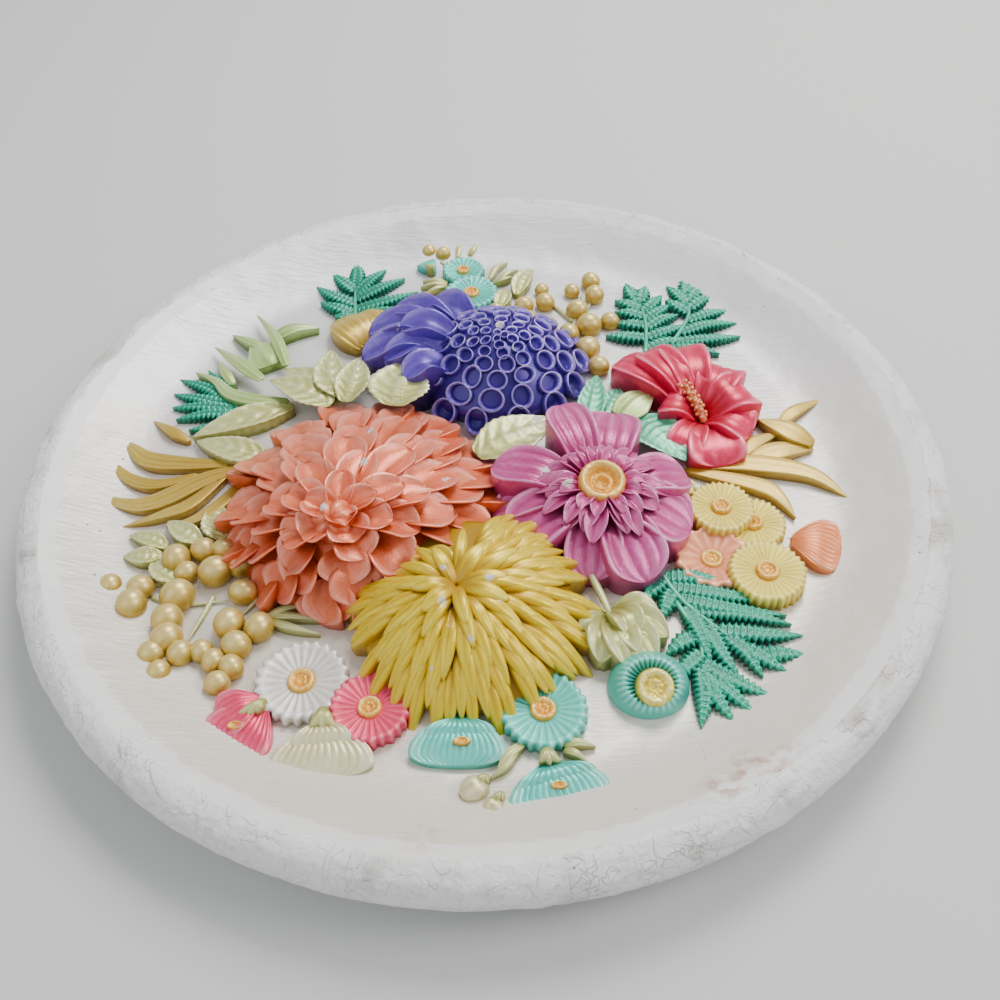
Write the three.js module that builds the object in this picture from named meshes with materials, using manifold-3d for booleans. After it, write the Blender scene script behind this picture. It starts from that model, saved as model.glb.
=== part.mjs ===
// Decorative wall plaque: a round dished casting in plaster with a rolled rim and a bouquet in high relief.
// It is one casting, so it is one solid. Units are millimetres. The origin is the centre of the flat back,
// +Z points out of the wall and +Y to the top of the plaque as it hangs.
import * as THREE from "three";
import { mergeVertices } from "three/addons/utils/BufferGeometryUtils.js";
import Module from "manifold-3d";

const wasm = await Module();
wasm.setup();

// ---- Driving dimensions ----------------------------------------------------------------------------
const RIM_RADIUS = 190; // outermost edge of the rolled rim
const RIM_HEIGHT = 30; // back face to the crest of the rim
const ROLL_RADIUS = 10; // section of the rolled rim
const UNDERCUT = 8; // height at which the roll turns in under the rim
const BACK_RADIUS = 142; // flat back that meets the wall
const GROUND = 14; // height of the flat ground inside the dish
const GROUND_RADIUS = 138; // where the ground starts to rise into the cove
const ROOT = GROUND - 2.5; // the relief is rooted this far down, inside the ground
const LOW = GROUND + 3.5; // height of the flattest leaves and fronds
const DISH_FACETS = 56;

// ---- Small tools -----------------------------------------------------------------------------------
const { lerp, degToRad } = THREE.MathUtils;
const UP = new THREE.Vector3(0, 0, 1);
const point = (x, y, z) => new THREE.Vector3(x, y, z);

/** Turns a closed geometry into a solid that can be joined, with its shared corners merged. */
function solid(geometry) {
  const bare = geometry.clone();
  bare.deleteAttribute("normal");
  bare.deleteAttribute("uv");
  const merged = mergeVertices(bare, 1e-4);
  const corners = merged.index.array;
  const triangles = [];
  for (let i = 0; i < corners.length; i += 3) {
    const [a, b, c] = corners.slice(i, i + 3);
    if (a !== b && b !== c && c !== a) triangles.push(a, b, c);
  }
  const mesh = new wasm.Mesh({
    numProp: 3,
    vertProperties: new Float32Array(merged.attributes.position.array),
    triVerts: new Uint32Array(triangles),
  });
  return new wasm.Manifold(mesh);
}

/** A solid of revolution about +Z, from [radius, height] pairs that start and end on the axis. */
function turned(profile, facets) {
  const points = profile.map(([radius, height]) => new THREE.Vector2(radius, height));
  return new THREE.LatheGeometry(points, facets).rotateX(Math.PI / 2);
}

/** Joins rings of corners into a closed skin: a flat cap at the first ring and a point after the last. */
function closedLoft(positions, corners, rings) {
  const index = [];
  for (let ring = 0; ring < rings - 1; ring += 1) {
    for (let k = 0; k < corners; k += 1) {
      const a = ring * corners + k;
      const b = ring * corners + ((k + 1) % corners);
      index.push(a, b, b + corners, a, b + corners, a + corners);
    }
  }
  const last = (rings - 1) * corners;
  for (let k = 0; k < corners; k += 1) index.push(last + k, last + ((k + 1) % corners), rings * corners);
  for (let k = 1; k < corners - 1; k += 1) index.push(0, k + 1, k);
  return solid(new THREE.BufferGeometry().setFromPoints(positions).setIndex(index));
}

/** Relative half-width of a petal or leaf at t, from its root at 0 to its pointed tip at 1. */
function fullness(t, root, widest) {
  if (t < widest) return lerp(root, 1, Math.sin((Math.PI / 2) * (t / widest)));
  return Math.cos((Math.PI / 2) * ((t - widest) / (1 - widest))) ** 0.75;
}

/**
 * A petal, leaf or blade of grass: a section carried along a smooth path and drawn to a point at its tip.
 * The section is a ring of [share of the half-width, height above the path], from the left edge over the top.
 */
function blade({ path, width, section, steps = 3, root = 0.5, widest = 0.6 }) {
  const curve = new THREE.CatmullRomCurve3(path);
  const positions = [];
  for (let i = 0; i < steps; i += 1) {
    const t = (i / steps) * 0.97;
    const centre = curve.getPoint(t);
    const forward = curve.getTangent(t);
    const side = forward.clone().cross(UP).normalize();
    const lift = side.clone().cross(forward).normalize();
    const half = (width / 2) * fullness(t, root, widest);
    for (const [share, above] of section) {
      positions.push(centre.clone().addScaledVector(side, share * half).addScaledVector(lift, above));
    }
  }
  positions.push(curve.getPoint(1));
  return closedLoft(positions, section.length, steps);
}

const cupped = (cup, depth) => [[-1, cup], [0, 0], [1, cup], [0, -depth]];
const domed = (crown, depth) => [[-1, 0], [0, crown], [1, 0], [0, -depth]];
const ridged = (crown, depth) => [[-1, -depth], [0, crown], [1, -depth]];

/** The path of a low piece that lies on the ground, from flat [x, y] places along its middle. */
function lowPath(places, height, droop) {
  const last = places.length - 1;
  return places.map(([x, y], i) => point(x, y, height - (i === last ? droop : 0)));
}

/** A broad leaf that lies over the ground with a raised midrib and free edges. */
function leaf({ places, width, height = LOW }) {
  return blade({ path: lowPath(places, height, 1.5), width, section: ridged(1, height - ROOT) });
}

/** A narrow strand on the ground: a blade of grass or a spike. */
function strand({ places, width, height = LOW }) {
  const path = lowPath(places, height, 1);
  return blade({ path, width, section: ridged(0.5, height - ROOT), root: 0.9, widest: 0.4 });
}

/** A domed flower head: petals run from its eye to a round edge that need not be centred on the eye. */
class Head {
  constructor({ eye, centre, radius, edge, tilt = 0, swell = 1.7 }) {
    Object.assign(this, { eye, centre, radius, edge, tilt, swell });
  }

  /** Place on the dome at share rho of the way from the eye to the edge, in the direction of angle. */
  at(rho, angle, lift = 0) {
    const x = this.centre[0] + this.radius * Math.cos(angle);
    const y = this.centre[1] + this.radius * Math.sin(angle);
    const edge = this.edge + this.tilt * Math.sin(angle);
    const height = this.eye[2] - (this.eye[2] - edge) * rho ** this.swell;
    return point(lerp(this.eye[0], x, rho), lerp(this.eye[1], y, rho), height + lift);
  }

  /** One ring of petal tips, as a list of { angle, place }: gap, left and right shoulder of every petal. */
  rimOf({ count, tip, notch, lift, crease, phase }) {
    const share = (2 * Math.PI) / count;
    const corners = [[-0.5, notch, -crease], [-0.2, 0, 0], [0.2, 0, 0]];
    return Array.from({ length: count }, (_, k) => k).flatMap((k) =>
      corners.map(([turn, back, rise]) => {
        const angle = share * (k + phase + turn);
        return { angle, place: this.at(tip - back, angle, lift + rise) };
      }),
    );
  }

  /**
   * The whole head as one closed skin. tiers lists the rings of petals from the eye outwards as
   * [count, share of the way to the edge, phase]. A tier stands lift over the dome, its gaps cut notch
   * back and dip by crease, and under its tips a wall drops to the foot of the next tier.
   */
  build(tiers, { notch = 0.08, lift = 2, crease = 1.5, drop = 4 } = {}) {
    const rings = tiers.flatMap(([count, tip, phase], tier) => {
      const rim = this.rimOf({ count, tip, notch, lift, crease, phase });
      const last = tier === tiers.length - 1;
      const foot = rim.map(({ angle, place }) => {
        const height = last ? ROOT : Math.min(place.z - 0.5, this.at(tip, angle, lift - drop).z);
        return { angle, place: point(place.x, place.y, height) };
      });
      return [rim, foot];
    });
    return skinOf(this.at(0, 0, lift), rings, point(this.eye[0], this.eye[1], ROOT - 1));
  }
}

/** A closed skin over a stack of rings, from a point on top to a point below, all seen around one axis. */
function skinOf(top, rings, bottom) {
  const positions = [top, ...rings.flat().map(({ place }) => place), bottom];
  const under = positions.length - 1;
  const index = [];
  let first = 1;
  rings.forEach((ring, r) => {
    const next = rings[r + 1];
    const ids = ring.map((_, i) => first + i);
    ids.forEach((id, i) => {
      const follower = ids[(i + 1) % ids.length];
      if (r === 0) index.push(0, id, follower);
      if (!next) index.push(under, follower, id);
    });
    if (next) index.push(...zipped(ring, ids, next, next.map((_, i) => first + ids.length + i)));
    first += ring.length;
  });
  return solid(new THREE.BufferGeometry().setFromPoints(positions).setIndex(index));
}

/** Triangles between two rings of unequal count: always step along the ring whose next corner comes first. */
function zipped(inner, innerIds, outer, outerIds) {
  const angleOf = (ring, i) => ring[i % ring.length].angle + (i >= ring.length ? 2 * Math.PI : 0);
  const triangles = [];
  let i = 0;
  let j = 0;
  while (i < inner.length || j < outer.length) {
    const here = [innerIds[i % inner.length], outerIds[j % outer.length]];
    const stepsIn = j === outer.length || (i < inner.length && angleOf(inner, i + 1) < angleOf(outer, j + 1));
    if (stepsIn) i += 1;
    else j += 1;
    triangles.push(...here, stepsIn ? innerIds[i % inner.length] : outerIds[j % outer.length]);
  }
  return triangles;
}

// ---- The dish --------------------------------------------------------------------------------------
/** Base, rolled rim, cove and ground, turned in one profile. */
function dish() {
  const crest = RIM_RADIUS - ROLL_RADIUS;
  const profile = [
    [0, 0],
    [BACK_RADIUS, 0],
    [crest - 4, UNDERCUT],
    [RIM_RADIUS, RIM_HEIGHT - ROLL_RADIUS * 1.15],
    [crest + ROLL_RADIUS * 0.72, RIM_HEIGHT - ROLL_RADIUS * 0.32],
    [crest, RIM_HEIGHT],
    [crest - 9, RIM_HEIGHT - 4.5],
    [crest - 22, GROUND + 4],
    [GROUND_RADIUS, GROUND],
    [0, GROUND],
  ];
  return solid(turned(profile, DISH_FACETS));
}

// ---- Large flower heads ----------------------------------------------------------------------------
/** Coral dahlia: broad cupped petals in six tiers around a closed bud that leans to the lower left. */
function coralDahlia() {
  const head = new Head({ eye: [-54, -53, 43], centre: [-49, -26], radius: 56, edge: 18, tilt: 2 });
  const bud = turned([[0, -10], [7.5, -8], [7.5, 0], [4, 4.5], [0, 5.5]], 7);
  return [
    solid(bud.translate(-54, -53, 41)),
    head.build([
      [6, 0.28, 0.3],
      [9, 0.43, 0.1],
      [11, 0.58, 0.4],
      [13, 0.73, 0.2],
      [15, 0.88, 0.45],
      [17, 1.03, 0.1],
    ]),
  ];
}

/** Violet ball dahlia: tiers of blunt hollow cups that shrink towards the eye, and loose petals on the left. */
function violetDahlia() {
  const head = new Head({ eye: [9, 50, 42], centre: [7, 57], radius: 38, edge: 20, swell: 2 });
  const loose = [
    { path: [point(-22, 62, 30), point(-38, 62, 31), point(-54, 58, 23)], width: 16 },
    { path: [point(-20, 68, 31), point(-36, 74, 32), point(-51, 76, 23)], width: 16 },
    { path: [point(-18, 72, 31), point(-30, 84, 30), point(-40, 93, 22)], width: 18 },
    { path: [point(-8, 78, 30), point(-17, 88, 29), point(-24, 97, 22)], width: 17 },
    { path: [point(-18, 54, 31), point(-30, 54, 32), point(-42, 50, 27)], width: 14 },
  ];
  return [
    head.build(
      [
        [5, 0.24, 0.13],
        [8, 0.4, 0.41],
        [10, 0.56, 0.2],
        [12, 0.72, 0.27],
        [14, 0.88, 0.05],
        [15, 1.04, 0.3],
      ],
      { notch: 0.07 },
    ),
    ...loose.map((petal) => blade({ ...petal, section: domed(2, 12) })),
  ];
}

/** Yellow spider chrysanthemum: blunt fingers in tiers that hang over the near side of a mound. */
function yellowMum() {
  const head = new Head({ eye: [-10, -82, 38], centre: [-6, -84], radius: 44, edge: 21, tilt: 7 });
  const bract = { path: [point(-12, -78, 34), point(-18, -70, 33), point(-24, -61, 26)], width: 14 };
  return [
    head.build(
      [
        [6, 0.34, 0.2],
        [10, 0.53, 0.4],
        [13, 0.71, 0.1],
        [16, 0.88, 0.35],
        [18, 1.05, 0.05],
      ],
      { notch: 0.15, crease: 2.5, lift: 1.5 },
    ),
    blade({ ...bract, section: domed(1, 8) }),
  ];
}

/** Magenta anemone dahlia: nine broad outer petals, a collar of small ones and a raised button. */
function magentaDahlia() {
  const eye = [46, -34];
  const broad = [
    { tip: [33, 12, 35], width: 18 },
    { tip: [56, 10, 31], width: 24 },
    { tip: [83, -22, 25], width: 21 },
    { tip: [81, -48, 22], width: 27 },
    { tip: [61, -72, 21], width: 24 },
    { tip: [40, -69, 19], width: 22 },
    { tip: [10, -50, 22], width: 27 },
    { tip: [3, -33, 19], width: 18 },
    { tip: [4, -14, 27], width: 21 },
  ];
  const petals = broad.map(({ tip, width }) => {
    const [x, y, z] = tip;
    const middle = point(lerp(eye[0], x, 0.6), lerp(eye[1], y, 0.6), lerp(31, z, 0.5) + 2.5);
    const path = [point(lerp(eye[0], x, 0.15), lerp(eye[1], y, 0.15), 28), middle, point(x, y, z)];
    return blade({ path, width, section: cupped(1.5, 10), root: 0.45 });
  });
  const collar = new Head({ eye: [...eye, 35], centre: eye, radius: 26, edge: 31 });
  const button = turned([[0, 26], [9, 26], [10.5, 36], [8.5, 39], [0, 38.5]], 10);
  return [
    ...petals,
    collar.build([[7, 0.7, 0.1], [10, 1, 0.3]], { notch: 0.25, lift: 2, drop: 3 }),
    solid(button.translate(...eye, 0)),
  ];
}

/** Red open flower: broad petals folded along their middles around a leaning column. */
function redFlower() {
  const [x0, y0] = [96, 18];
  const petals = [
    { tip: [62, 53, 23], width: 16 },
    { tip: [75, 56, 26], width: 16 },
    { tip: [90, 58, 26], width: 20 },
    { tip: [110, 45, 24], width: 19 },
    { tip: [118, 28, 24], width: 21 },
    { tip: [115, 6, 21], width: 18 },
    { tip: [99, -11, 19], width: 24 },
    { tip: [84, -3, 19], width: 15 },
    { tip: [79, 25, 22], width: 19 },
  ];
  const shapes = petals.map(({ tip, width }) => {
    const [x, y, z] = tip;
    const path = [0.1, 0.55, 1].map((share, i) => point(lerp(x0, x, share), lerp(y0, y, share), [17, z + 2, z][i]));
    return blade({ path, width, section: domed(1.5, 12), steps: 2, root: 0.45, widest: 0.5 });
  });
  const column = { path: [point(97, 15, 17), point(93, 22, 25), point(88, 29, 29)], width: 5 };
  return [...shapes, blade({ ...column, section: domed(2, 6), steps: 2, root: 1, widest: 0.7 })];
}

// ---- Small flowers ---------------------------------------------------------------------------------
/** An open daisy: a shallow bowl of petals with a raised button. */
function daisy([x, y], radius, top) {
  const profile = [[0, ROOT], [radius, ROOT], [radius, top - 1], [radius * 0.36, top - 2.5], [0, top + 1.5]];
  return solid(turned(profile, 8).translate(x, y, 0));
}

/** A flower seen from the side: an oval mound, longer than it is deep, with its fold off the middle. */
function sideFlower([x, y], long, deep, degrees, top) {
  const mound = turned([[0, ROOT], [1, ROOT], [1, top - 2.5], [0, top]], 7);
  mound.scale(long, deep, 1).rotateZ(degToRad(degrees)).translate(x, y, 0);
  return solid(mound);
}

function smallFlowers() {
  const ball = new THREE.SphereGeometry(1, 9, 5).rotateX(Math.PI / 2).scale(14.5, 12.5, 11);
  const ballEye = turned([[0, -6], [6.5, -6], [6.5, 1], [0, 2.5]], 9);
  const daisies = [
    daisy([-66, -107], 16.3, 18), // white
    daisy([-41, -119], 14, 19), // rose
    daisy([19, -122], 15, 18.5), // turquoise
    daisy([-8, 134], 10.5, 19), // turquoise, at the top
    daisy([-4, 115], 13, 19), // turquoise, below it
    daisy([107, -41], 13, 17.5), // yellow, behind
    daisy([95, -35], 13, 21), // yellow
    daisy([88, -58], 14, 18), // peach
    daisy([107, -67.5], 14.5, 20), // yellow, lowest
  ];
  const sides = [
    sideFlower([-84, -122], 18, 9.5, -31, 19), // rose
    sideFlower([-56, -136], 18.5, 8.5, 0, 18.5), // cream bell
    sideFlower([-11, -131], 16, 10, 0, 19), // turquoise, under the chrysanthemum
    sideFlower([22, -150], 17, 8, 8, 19), // turquoise
    sideFlower([-27, 139], 7, 5, 60, 17.5), // turquoise bud
    sideFlower([130, -52], 12, 10, -75, 17.5), // orange fan
    sideFlower([-5, -150], 6, 4.5, 10, 19), // bud
    sideFlower([1, -156.5], 4, 4, 0, 18), // bud
    sideFlower([65, 46], 9, 5, -70, 22), // gold bud
    sideFlower([-60, 88], 14, 11, 60, 20), // ochre flower behind the violet head
  ];
  return [
    ...daisies,
    ...sides,
    solid(ball.translate(56.5, -113, 17)),
    solid(ballEye.rotateX(degToRad(22)).translate(57.5, -117, 26)),
    ...greenTulip(),
  ];
}

/** A half-open green flower: overlapping sepals that fan out from one stem. */
function greenTulip() {
  const sepals = [[35, -97], [40, -106], [50, -110], [60, -106], [66, -95], [64, -84]];
  return sepals.map(([x, y]) =>
    leaf({
      places: [0.12, 0.6, 1].map((share) => [lerp(45, x, share), lerp(-84, y, share)]),
      width: 13,
      height: 21,
    }),
  );
}

// ---- Leaves, grass and fronds ----------------------------------------------------------------------
/** Broad leaves: places along the midrib from stalk to tip, with the full width and the height. */
const LEAVES = [
  { places: [[-86, 34], [-106, 27], [-127, 18]], width: 13, height: 19 },
  { places: [[-93, 4], [-108, 9], [-123, 15]], width: 14, height: 18.5 },
  { places: [[-66, 30.5], [-80, 40], [-95, 47]], width: 17, height: 24 },
  { places: [[-64.5, 33], [-74, 47], [-90, 57]], width: 15, height: 22 },
  { places: [[-61.5, 34.5], [-68, 48], [-69, 66]], width: 16, height: 25 },
  { places: [[-60, 29], [-57, 44], [-56, 58]], width: 16, height: 26 },
  { places: [[-38, 20], [-35, 34], [-28, 50]], width: 27, height: 31 },
  { places: [[-2, -5], [14, 5], [31, 13]], width: 24, height: 25 },
  { places: [[-113, -41], [-121, -36], [-129, -29]], width: 10 },
  { places: [[-104, -40], [-108, -31], [-111, -21]], width: 13 },
  { places: [[-126, -43], [-134, -39], [-143, -36]], width: 8 },
  { places: [[-127, -47], [-135, -48], [-143, -47]], width: 9 },
  { places: [[-119, -60], [-126, -55], [-130, -48]], width: 10 },
  { places: [[50, 14], [57, 26], [62, 37]], width: 15, height: 19 },
  { places: [[60, 18], [69, 27], [76, 31]], width: 16, height: 22 },
  { places: [[66, 17], [76, 6], [84, -7]], width: 20, height: 20.5 },
  { places: [[18.5, 113], [22, 125], [28, 135]], width: 10 },
  { places: [[-98, 64], [-102, 72], [-110, 82]], width: 20, height: 19 },
  { places: [[-100, 84], [-90, 90], [-78, 91]], width: 8, height: 19 },
];

/** Long narrow blades: gold grass on both sides, and the spikes of the green lily. */
const GRASS = [
  { places: [[-128, 17], [-137, 23], [-147, 31]], width: 4 },
  { places: [[-107, 2], [-130, 3], [-144, 6], [-152, 13], [-163, 23]], width: 8 },
  { places: [[-100, 1], [-117, -7], [-136, -19], [-150, -19], [-173, -8]], width: 8 },
  { places: [[-106, 0], [-120, -20], [-131, -26], [-147, -31]], width: 5 },
  { places: [[-99, -4], [-108, -21], [-117, -29], [-129, -32]], width: 5 },
  { places: [[86, -8], [112, -9], [136, -16], [149, -30]], width: 9 },
  { places: [[84, -10], [112, -21], [120, -28], [125, -39]], width: 7 },
  { places: [[103, -8], [114, 2], [130, 10]], width: 7 },
  { places: [[109, -8], [126, -2], [141, -1]], width: 9 },
  { places: [[141, 0], [131, 9], [120, 17]], width: 10, height: 19 },
  { places: [[129, 14], [138, 22], [153, 30]], width: 5 },
  { places: [[-90, 61], [-98, 82], [-110, 102]], width: 5, height: 20 },
  { places: [[-100, 52], [-113, 64], [-127, 78]], width: 6, height: 20 },
  { places: [[-114, 52], [-119, 60], [-124, 70]], width: 4 },
  { places: [[-86, 38], [-101, 39], [-114, 44], [-122, 53], [-133, 61]], width: 6, height: 19 },
  { places: [[5, 127], [9, 136], [15, 142]], width: 3 },
  { places: [[-11, 147], [-10, 156], [-9, 164]], width: 3 },
];

/** Fern fronds: a stem, and leaflets given by their share of the way up the stem and their tip. */
const FRONDS = [
  {
    stem: [[-61, 96], [-62, 108], [-63, 124]],
    tips: [[1, -65, 146], [0.9, -75, 135], [0.5, -82, 120], [0.8, -40, 133], [0.45, -31, 117], [0.1, -33, 100]],
  },
  {
    stem: [[77, 62], [80, 86], [79, 106]],
    tips: [[0.95, 74, 119], [0.93, 83, 115], [0.8, 68, 102], [0.6, 69, 92], [0.35, 60, 80], [0.7, 89, 106], [0.5, 94, 97], [0.3, 99, 89]],
  },
  {
    stem: [[89, 68], [101, 90], [103, 104]],
    tips: [[1, 104, 128], [0.8, 93, 104], [0.75, 114, 105], [0.4, 121, 94], [0.1, 124, 77], [0, 110, 64]],
  },
  {
    stem: [[66, -62], [75, -80], [96, -103]],
    tips: [[0.25, 109, -82], [0.45, 108, -87], [0.75, 113, -92], [1, 111, -102], [0.85, 99, -110], [0.6, 89, -111], [0.4, 67, -84]],
  },
  {
    stem: [[70, -76], [77, -95], [76, -108]],
    tips: [[0.9, 72, -130], [0.95, 91, -127], [0.85, 99, -119], [0.35, 66, -98]],
  },
  { stem: [[-105, 30], [-108, 34], [-111, 38]], tips: [[1, -140, 57], [0.8, -138, 36], [0.2, -131, 25]] },
];

/** One frond: a leaflet is a sharp wedge with its ridge on the line from the stem to its tip. */
function frond({ stem, tips }) {
  const curve = new THREE.CatmullRomCurve3(stem.map(([x, y]) => point(x, y, 0)));
  return tips.map(([share, x, y]) => {
    const base = curve.getPoint(share);
    const path = [point(base.x, base.y, LOW), point(x, y, LOW - 2)];
    return blade({ path, width: 9, section: ridged(0.5, LOW - ROOT), steps: 1, root: 1 });
  });
}

// ---- Berries ---------------------------------------------------------------------------------------
/** Berry clusters: [x, y, radius] of each berry. */
const LEFT_BERRIES = [
  [-132.5, -63, 5.2], [-134, -71, 6], [-117, -68, 6.6], [-119, -78.5, 6], [-117.5, -87, 6],
  [-122, -93, 5], [-118, -101, 4.6], [-111.5, -93.5, 5], [-104, -92.5, 4.4], [-99, -97, 4.6],
  [-96, -106.5, 4.7], [-92, -100, 4.8], [-91.5, -91, 5.6], [-95.5, -81.5, 6], [-84, -83.5, 5.7], [-92.5, -67, 5.4],
  [-121, -49.5, 5.8], [-111, -45.5, 5.2], [-103, -45.5, 4.8], [-116, -56, 4.6], [-104.5, -57, 6.4], [-95, -53.5, 5.6],
];
const TOP_BERRIES = [
  [56.5, 122, 4.8], [46.5, 115, 4], [57.5, 110.5, 5], [32.5, 106, 4.8], [22, 104, 4.7],
  [48, 98.5, 5.4], [52.5, 86, 6], [24, 92, 5], [33, 88, 4.7], [42.5, 81, 5], [50.5, 68.5, 6], [63, 89.5, 4.6],
  [54.5, 56.5, 5], [17, 97.5, 4.5], [-27, 110, 4.7], [-18, 108, 4.8], [-27.5, 102, 5],
  [-26, 153.5, 4], [-18.5, 151, 4],
];

function berry([x, y, radius]) {
  const ball = new THREE.SphereGeometry(radius * 1.08, 5, 3).rotateX(Math.PI / 2);
  return solid(ball.translate(x, y, GROUND + 0.62 * radius));
}

// ---- The casting -----------------------------------------------------------------------------------
/** Keeps the one outer skin of a joined solid, which fills the small pockets sealed between petals. */
function outerSkin(corners, triangles) {
  const owner = Array.from({ length: corners.length / 3 }, (_, i) => i);
  const find = (i) => {
    while (owner[i] !== i) {
      owner[i] = owner[owner[i]];
      i = owner[i];
    }
    return i;
  };
  for (let i = 0; i < triangles.length; i += 3) {
    owner[find(triangles[i])] = find(triangles[i + 1]);
    owner[find(triangles[i + 1])] = find(triangles[i + 2]);
  }
  const lowest = corners.reduce((best, z, i) => (i % 3 === 2 && z < corners[best] ? i : best), 2);
  const skin = find((lowest - 2) / 3);
  return triangles.filter((_, i) => find(triangles[i - (i % 3)]) === skin);
}

/** Joins everything into one closed casting. */
function casting() {
  const relief = [
    ...coralDahlia(),
    ...violetDahlia(),
    ...yellowMum(),
    ...magentaDahlia(),
    ...redFlower(),
    ...smallFlowers(),
    ...LEAVES.map(leaf),
    ...GRASS.map(strand),
    ...FRONDS.flatMap(frond),
    ...[...LEFT_BERRIES, ...TOP_BERRIES].map(berry),
  ];
  const joined = relief.reduce((sum, piece) => sum.add(piece), dish()).getMesh();
  const triangles = outerSkin(joined.vertProperties, joined.triVerts);
  const geometry = new THREE.BufferGeometry();
  geometry.setAttribute("position", new THREE.BufferAttribute(new Float32Array(joined.vertProperties), 3));
  geometry.setIndex(new THREE.BufferAttribute(new Uint32Array(triangles), 1));
  return geometry;
}

const plaster = new THREE.MeshStandardMaterial({ color: 0xe2dfda, roughness: 0.6, metalness: 0 });
const plaque = new THREE.Mesh(casting(), plaster);
plaque.name = "plaque";

const group = new THREE.Group();
group.add(plaque);

export default group;
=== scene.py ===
"""Decorative wall plaque: a round dished plaster casting with a bouquet in high relief, in pearl paints.

The plaque lies face up with the centre of its flat back at the origin, +Z out of the wall and +Y to its
top. Shapes are worked out in millimetres and turned into metres when a piece is finished.
"""

import logging
import math
import random
from collections.abc import Iterable, Sequence
from dataclasses import dataclass, replace
from enum import Enum
from typing import ClassVar

import bmesh
import bpy
from bmesh.types import BMVert
from mathutils import Matrix, Vector, noise


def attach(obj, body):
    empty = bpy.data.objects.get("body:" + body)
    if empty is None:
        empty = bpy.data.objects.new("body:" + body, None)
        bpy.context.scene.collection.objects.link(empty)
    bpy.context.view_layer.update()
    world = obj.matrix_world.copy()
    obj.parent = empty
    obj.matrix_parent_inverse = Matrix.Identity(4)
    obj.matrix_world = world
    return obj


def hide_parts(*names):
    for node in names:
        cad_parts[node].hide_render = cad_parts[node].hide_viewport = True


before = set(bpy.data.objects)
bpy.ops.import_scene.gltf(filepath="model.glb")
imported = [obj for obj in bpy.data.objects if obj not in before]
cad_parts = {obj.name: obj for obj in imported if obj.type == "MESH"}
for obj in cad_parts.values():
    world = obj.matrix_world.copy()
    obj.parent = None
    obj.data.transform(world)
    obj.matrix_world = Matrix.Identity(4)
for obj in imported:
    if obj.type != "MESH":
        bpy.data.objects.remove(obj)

log = logging.getLogger("plaque")

MM = 0.001
NODE = "plaque"

Rgb = tuple[float, float, float]
Chart = tuple[int, int, int]
Flat = tuple[float, float]
Place = tuple[float, float, float]

RIM_RADIUS = 190.0
RIM_HEIGHT = 30.0
ROLL_RADIUS = 10.0
CREST_RADIUS = RIM_RADIUS - ROLL_RADIUS
BACK_RADIUS = 142.0
UNDERCUT = 8.0
GROUND = 14.0
GROUND_RADIUS = 138.0
PAINT_EDGE = 179.0


def clamp(value: float, low: float = 0.0, high: float = 1.0) -> float:
    """Returns value held between low and high."""
    return max(low, min(high, value))


def lerp(a: float, b: float, t: float) -> float:
    """Returns the number at share t of the way from a to b."""
    return a + (b - a) * t


def smooth(low: float, high: float, value: float) -> float:
    """Returns 0 below low and 1 above high, with a smooth step between them."""
    t = clamp((value - low) / (high - low))
    return t * t * (3.0 - 2.0 * t)


def bell(value: float, width: float) -> float:
    """Returns a soft ridge: 1 where value is 0, falling to nothing about two widths away."""
    return math.exp(-((value / width) ** 2))


def polar(vert: BMVert) -> tuple[float, float]:
    """Returns how far down from the top of a unit ball a corner is, from 0 to 1, and its angle around."""
    return math.acos(clamp(vert.co.z, -1.0, 1.0)) / math.pi, math.atan2(vert.co.y, vert.co.x)


def ground_height(radius: float) -> float:
    """Returns the height of the painted ground inside the dish, in millimetres.

    Args:
        radius: Distance from the axis of the plaque.

    Returns:
        The height above the back: flat in the middle, then the cove up to the crest of the rim.
    """
    if radius <= GROUND_RADIUS:
        return GROUND
    climb = (radius - GROUND_RADIUS) / (CREST_RADIUS - GROUND_RADIUS)
    return lerp(GROUND, RIM_HEIGHT, clamp(climb) ** 2 * (1.9 - 0.9 * clamp(climb)))


# ---------------------------------------------------------------------------------------- Finishes


def linear(red: int, green: int, blue: int, strength: float = 1.0) -> Rgb:
    """Returns a linear colour from the 0 to 255 values of a paint chart.

    Args:
        red: Red value.
        green: Green value.
        blue: Blue value.
        strength: Over 1, how much stronger the wet paint is than its chart.
    """

    def channel(value: int) -> float:
        """Returns the linear value of one channel."""
        share = value / 255.0
        return share / 12.92 if share <= 0.04045 else ((share + 0.055) / 1.055) ** 2.4

    channels = [channel(value) for value in (red, green, blue)]
    grey = sum(channels) / 3.0
    r, g, b = (max(0.0, grey + (value - grey) * strength) for value in channels)
    return r, g, b


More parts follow.
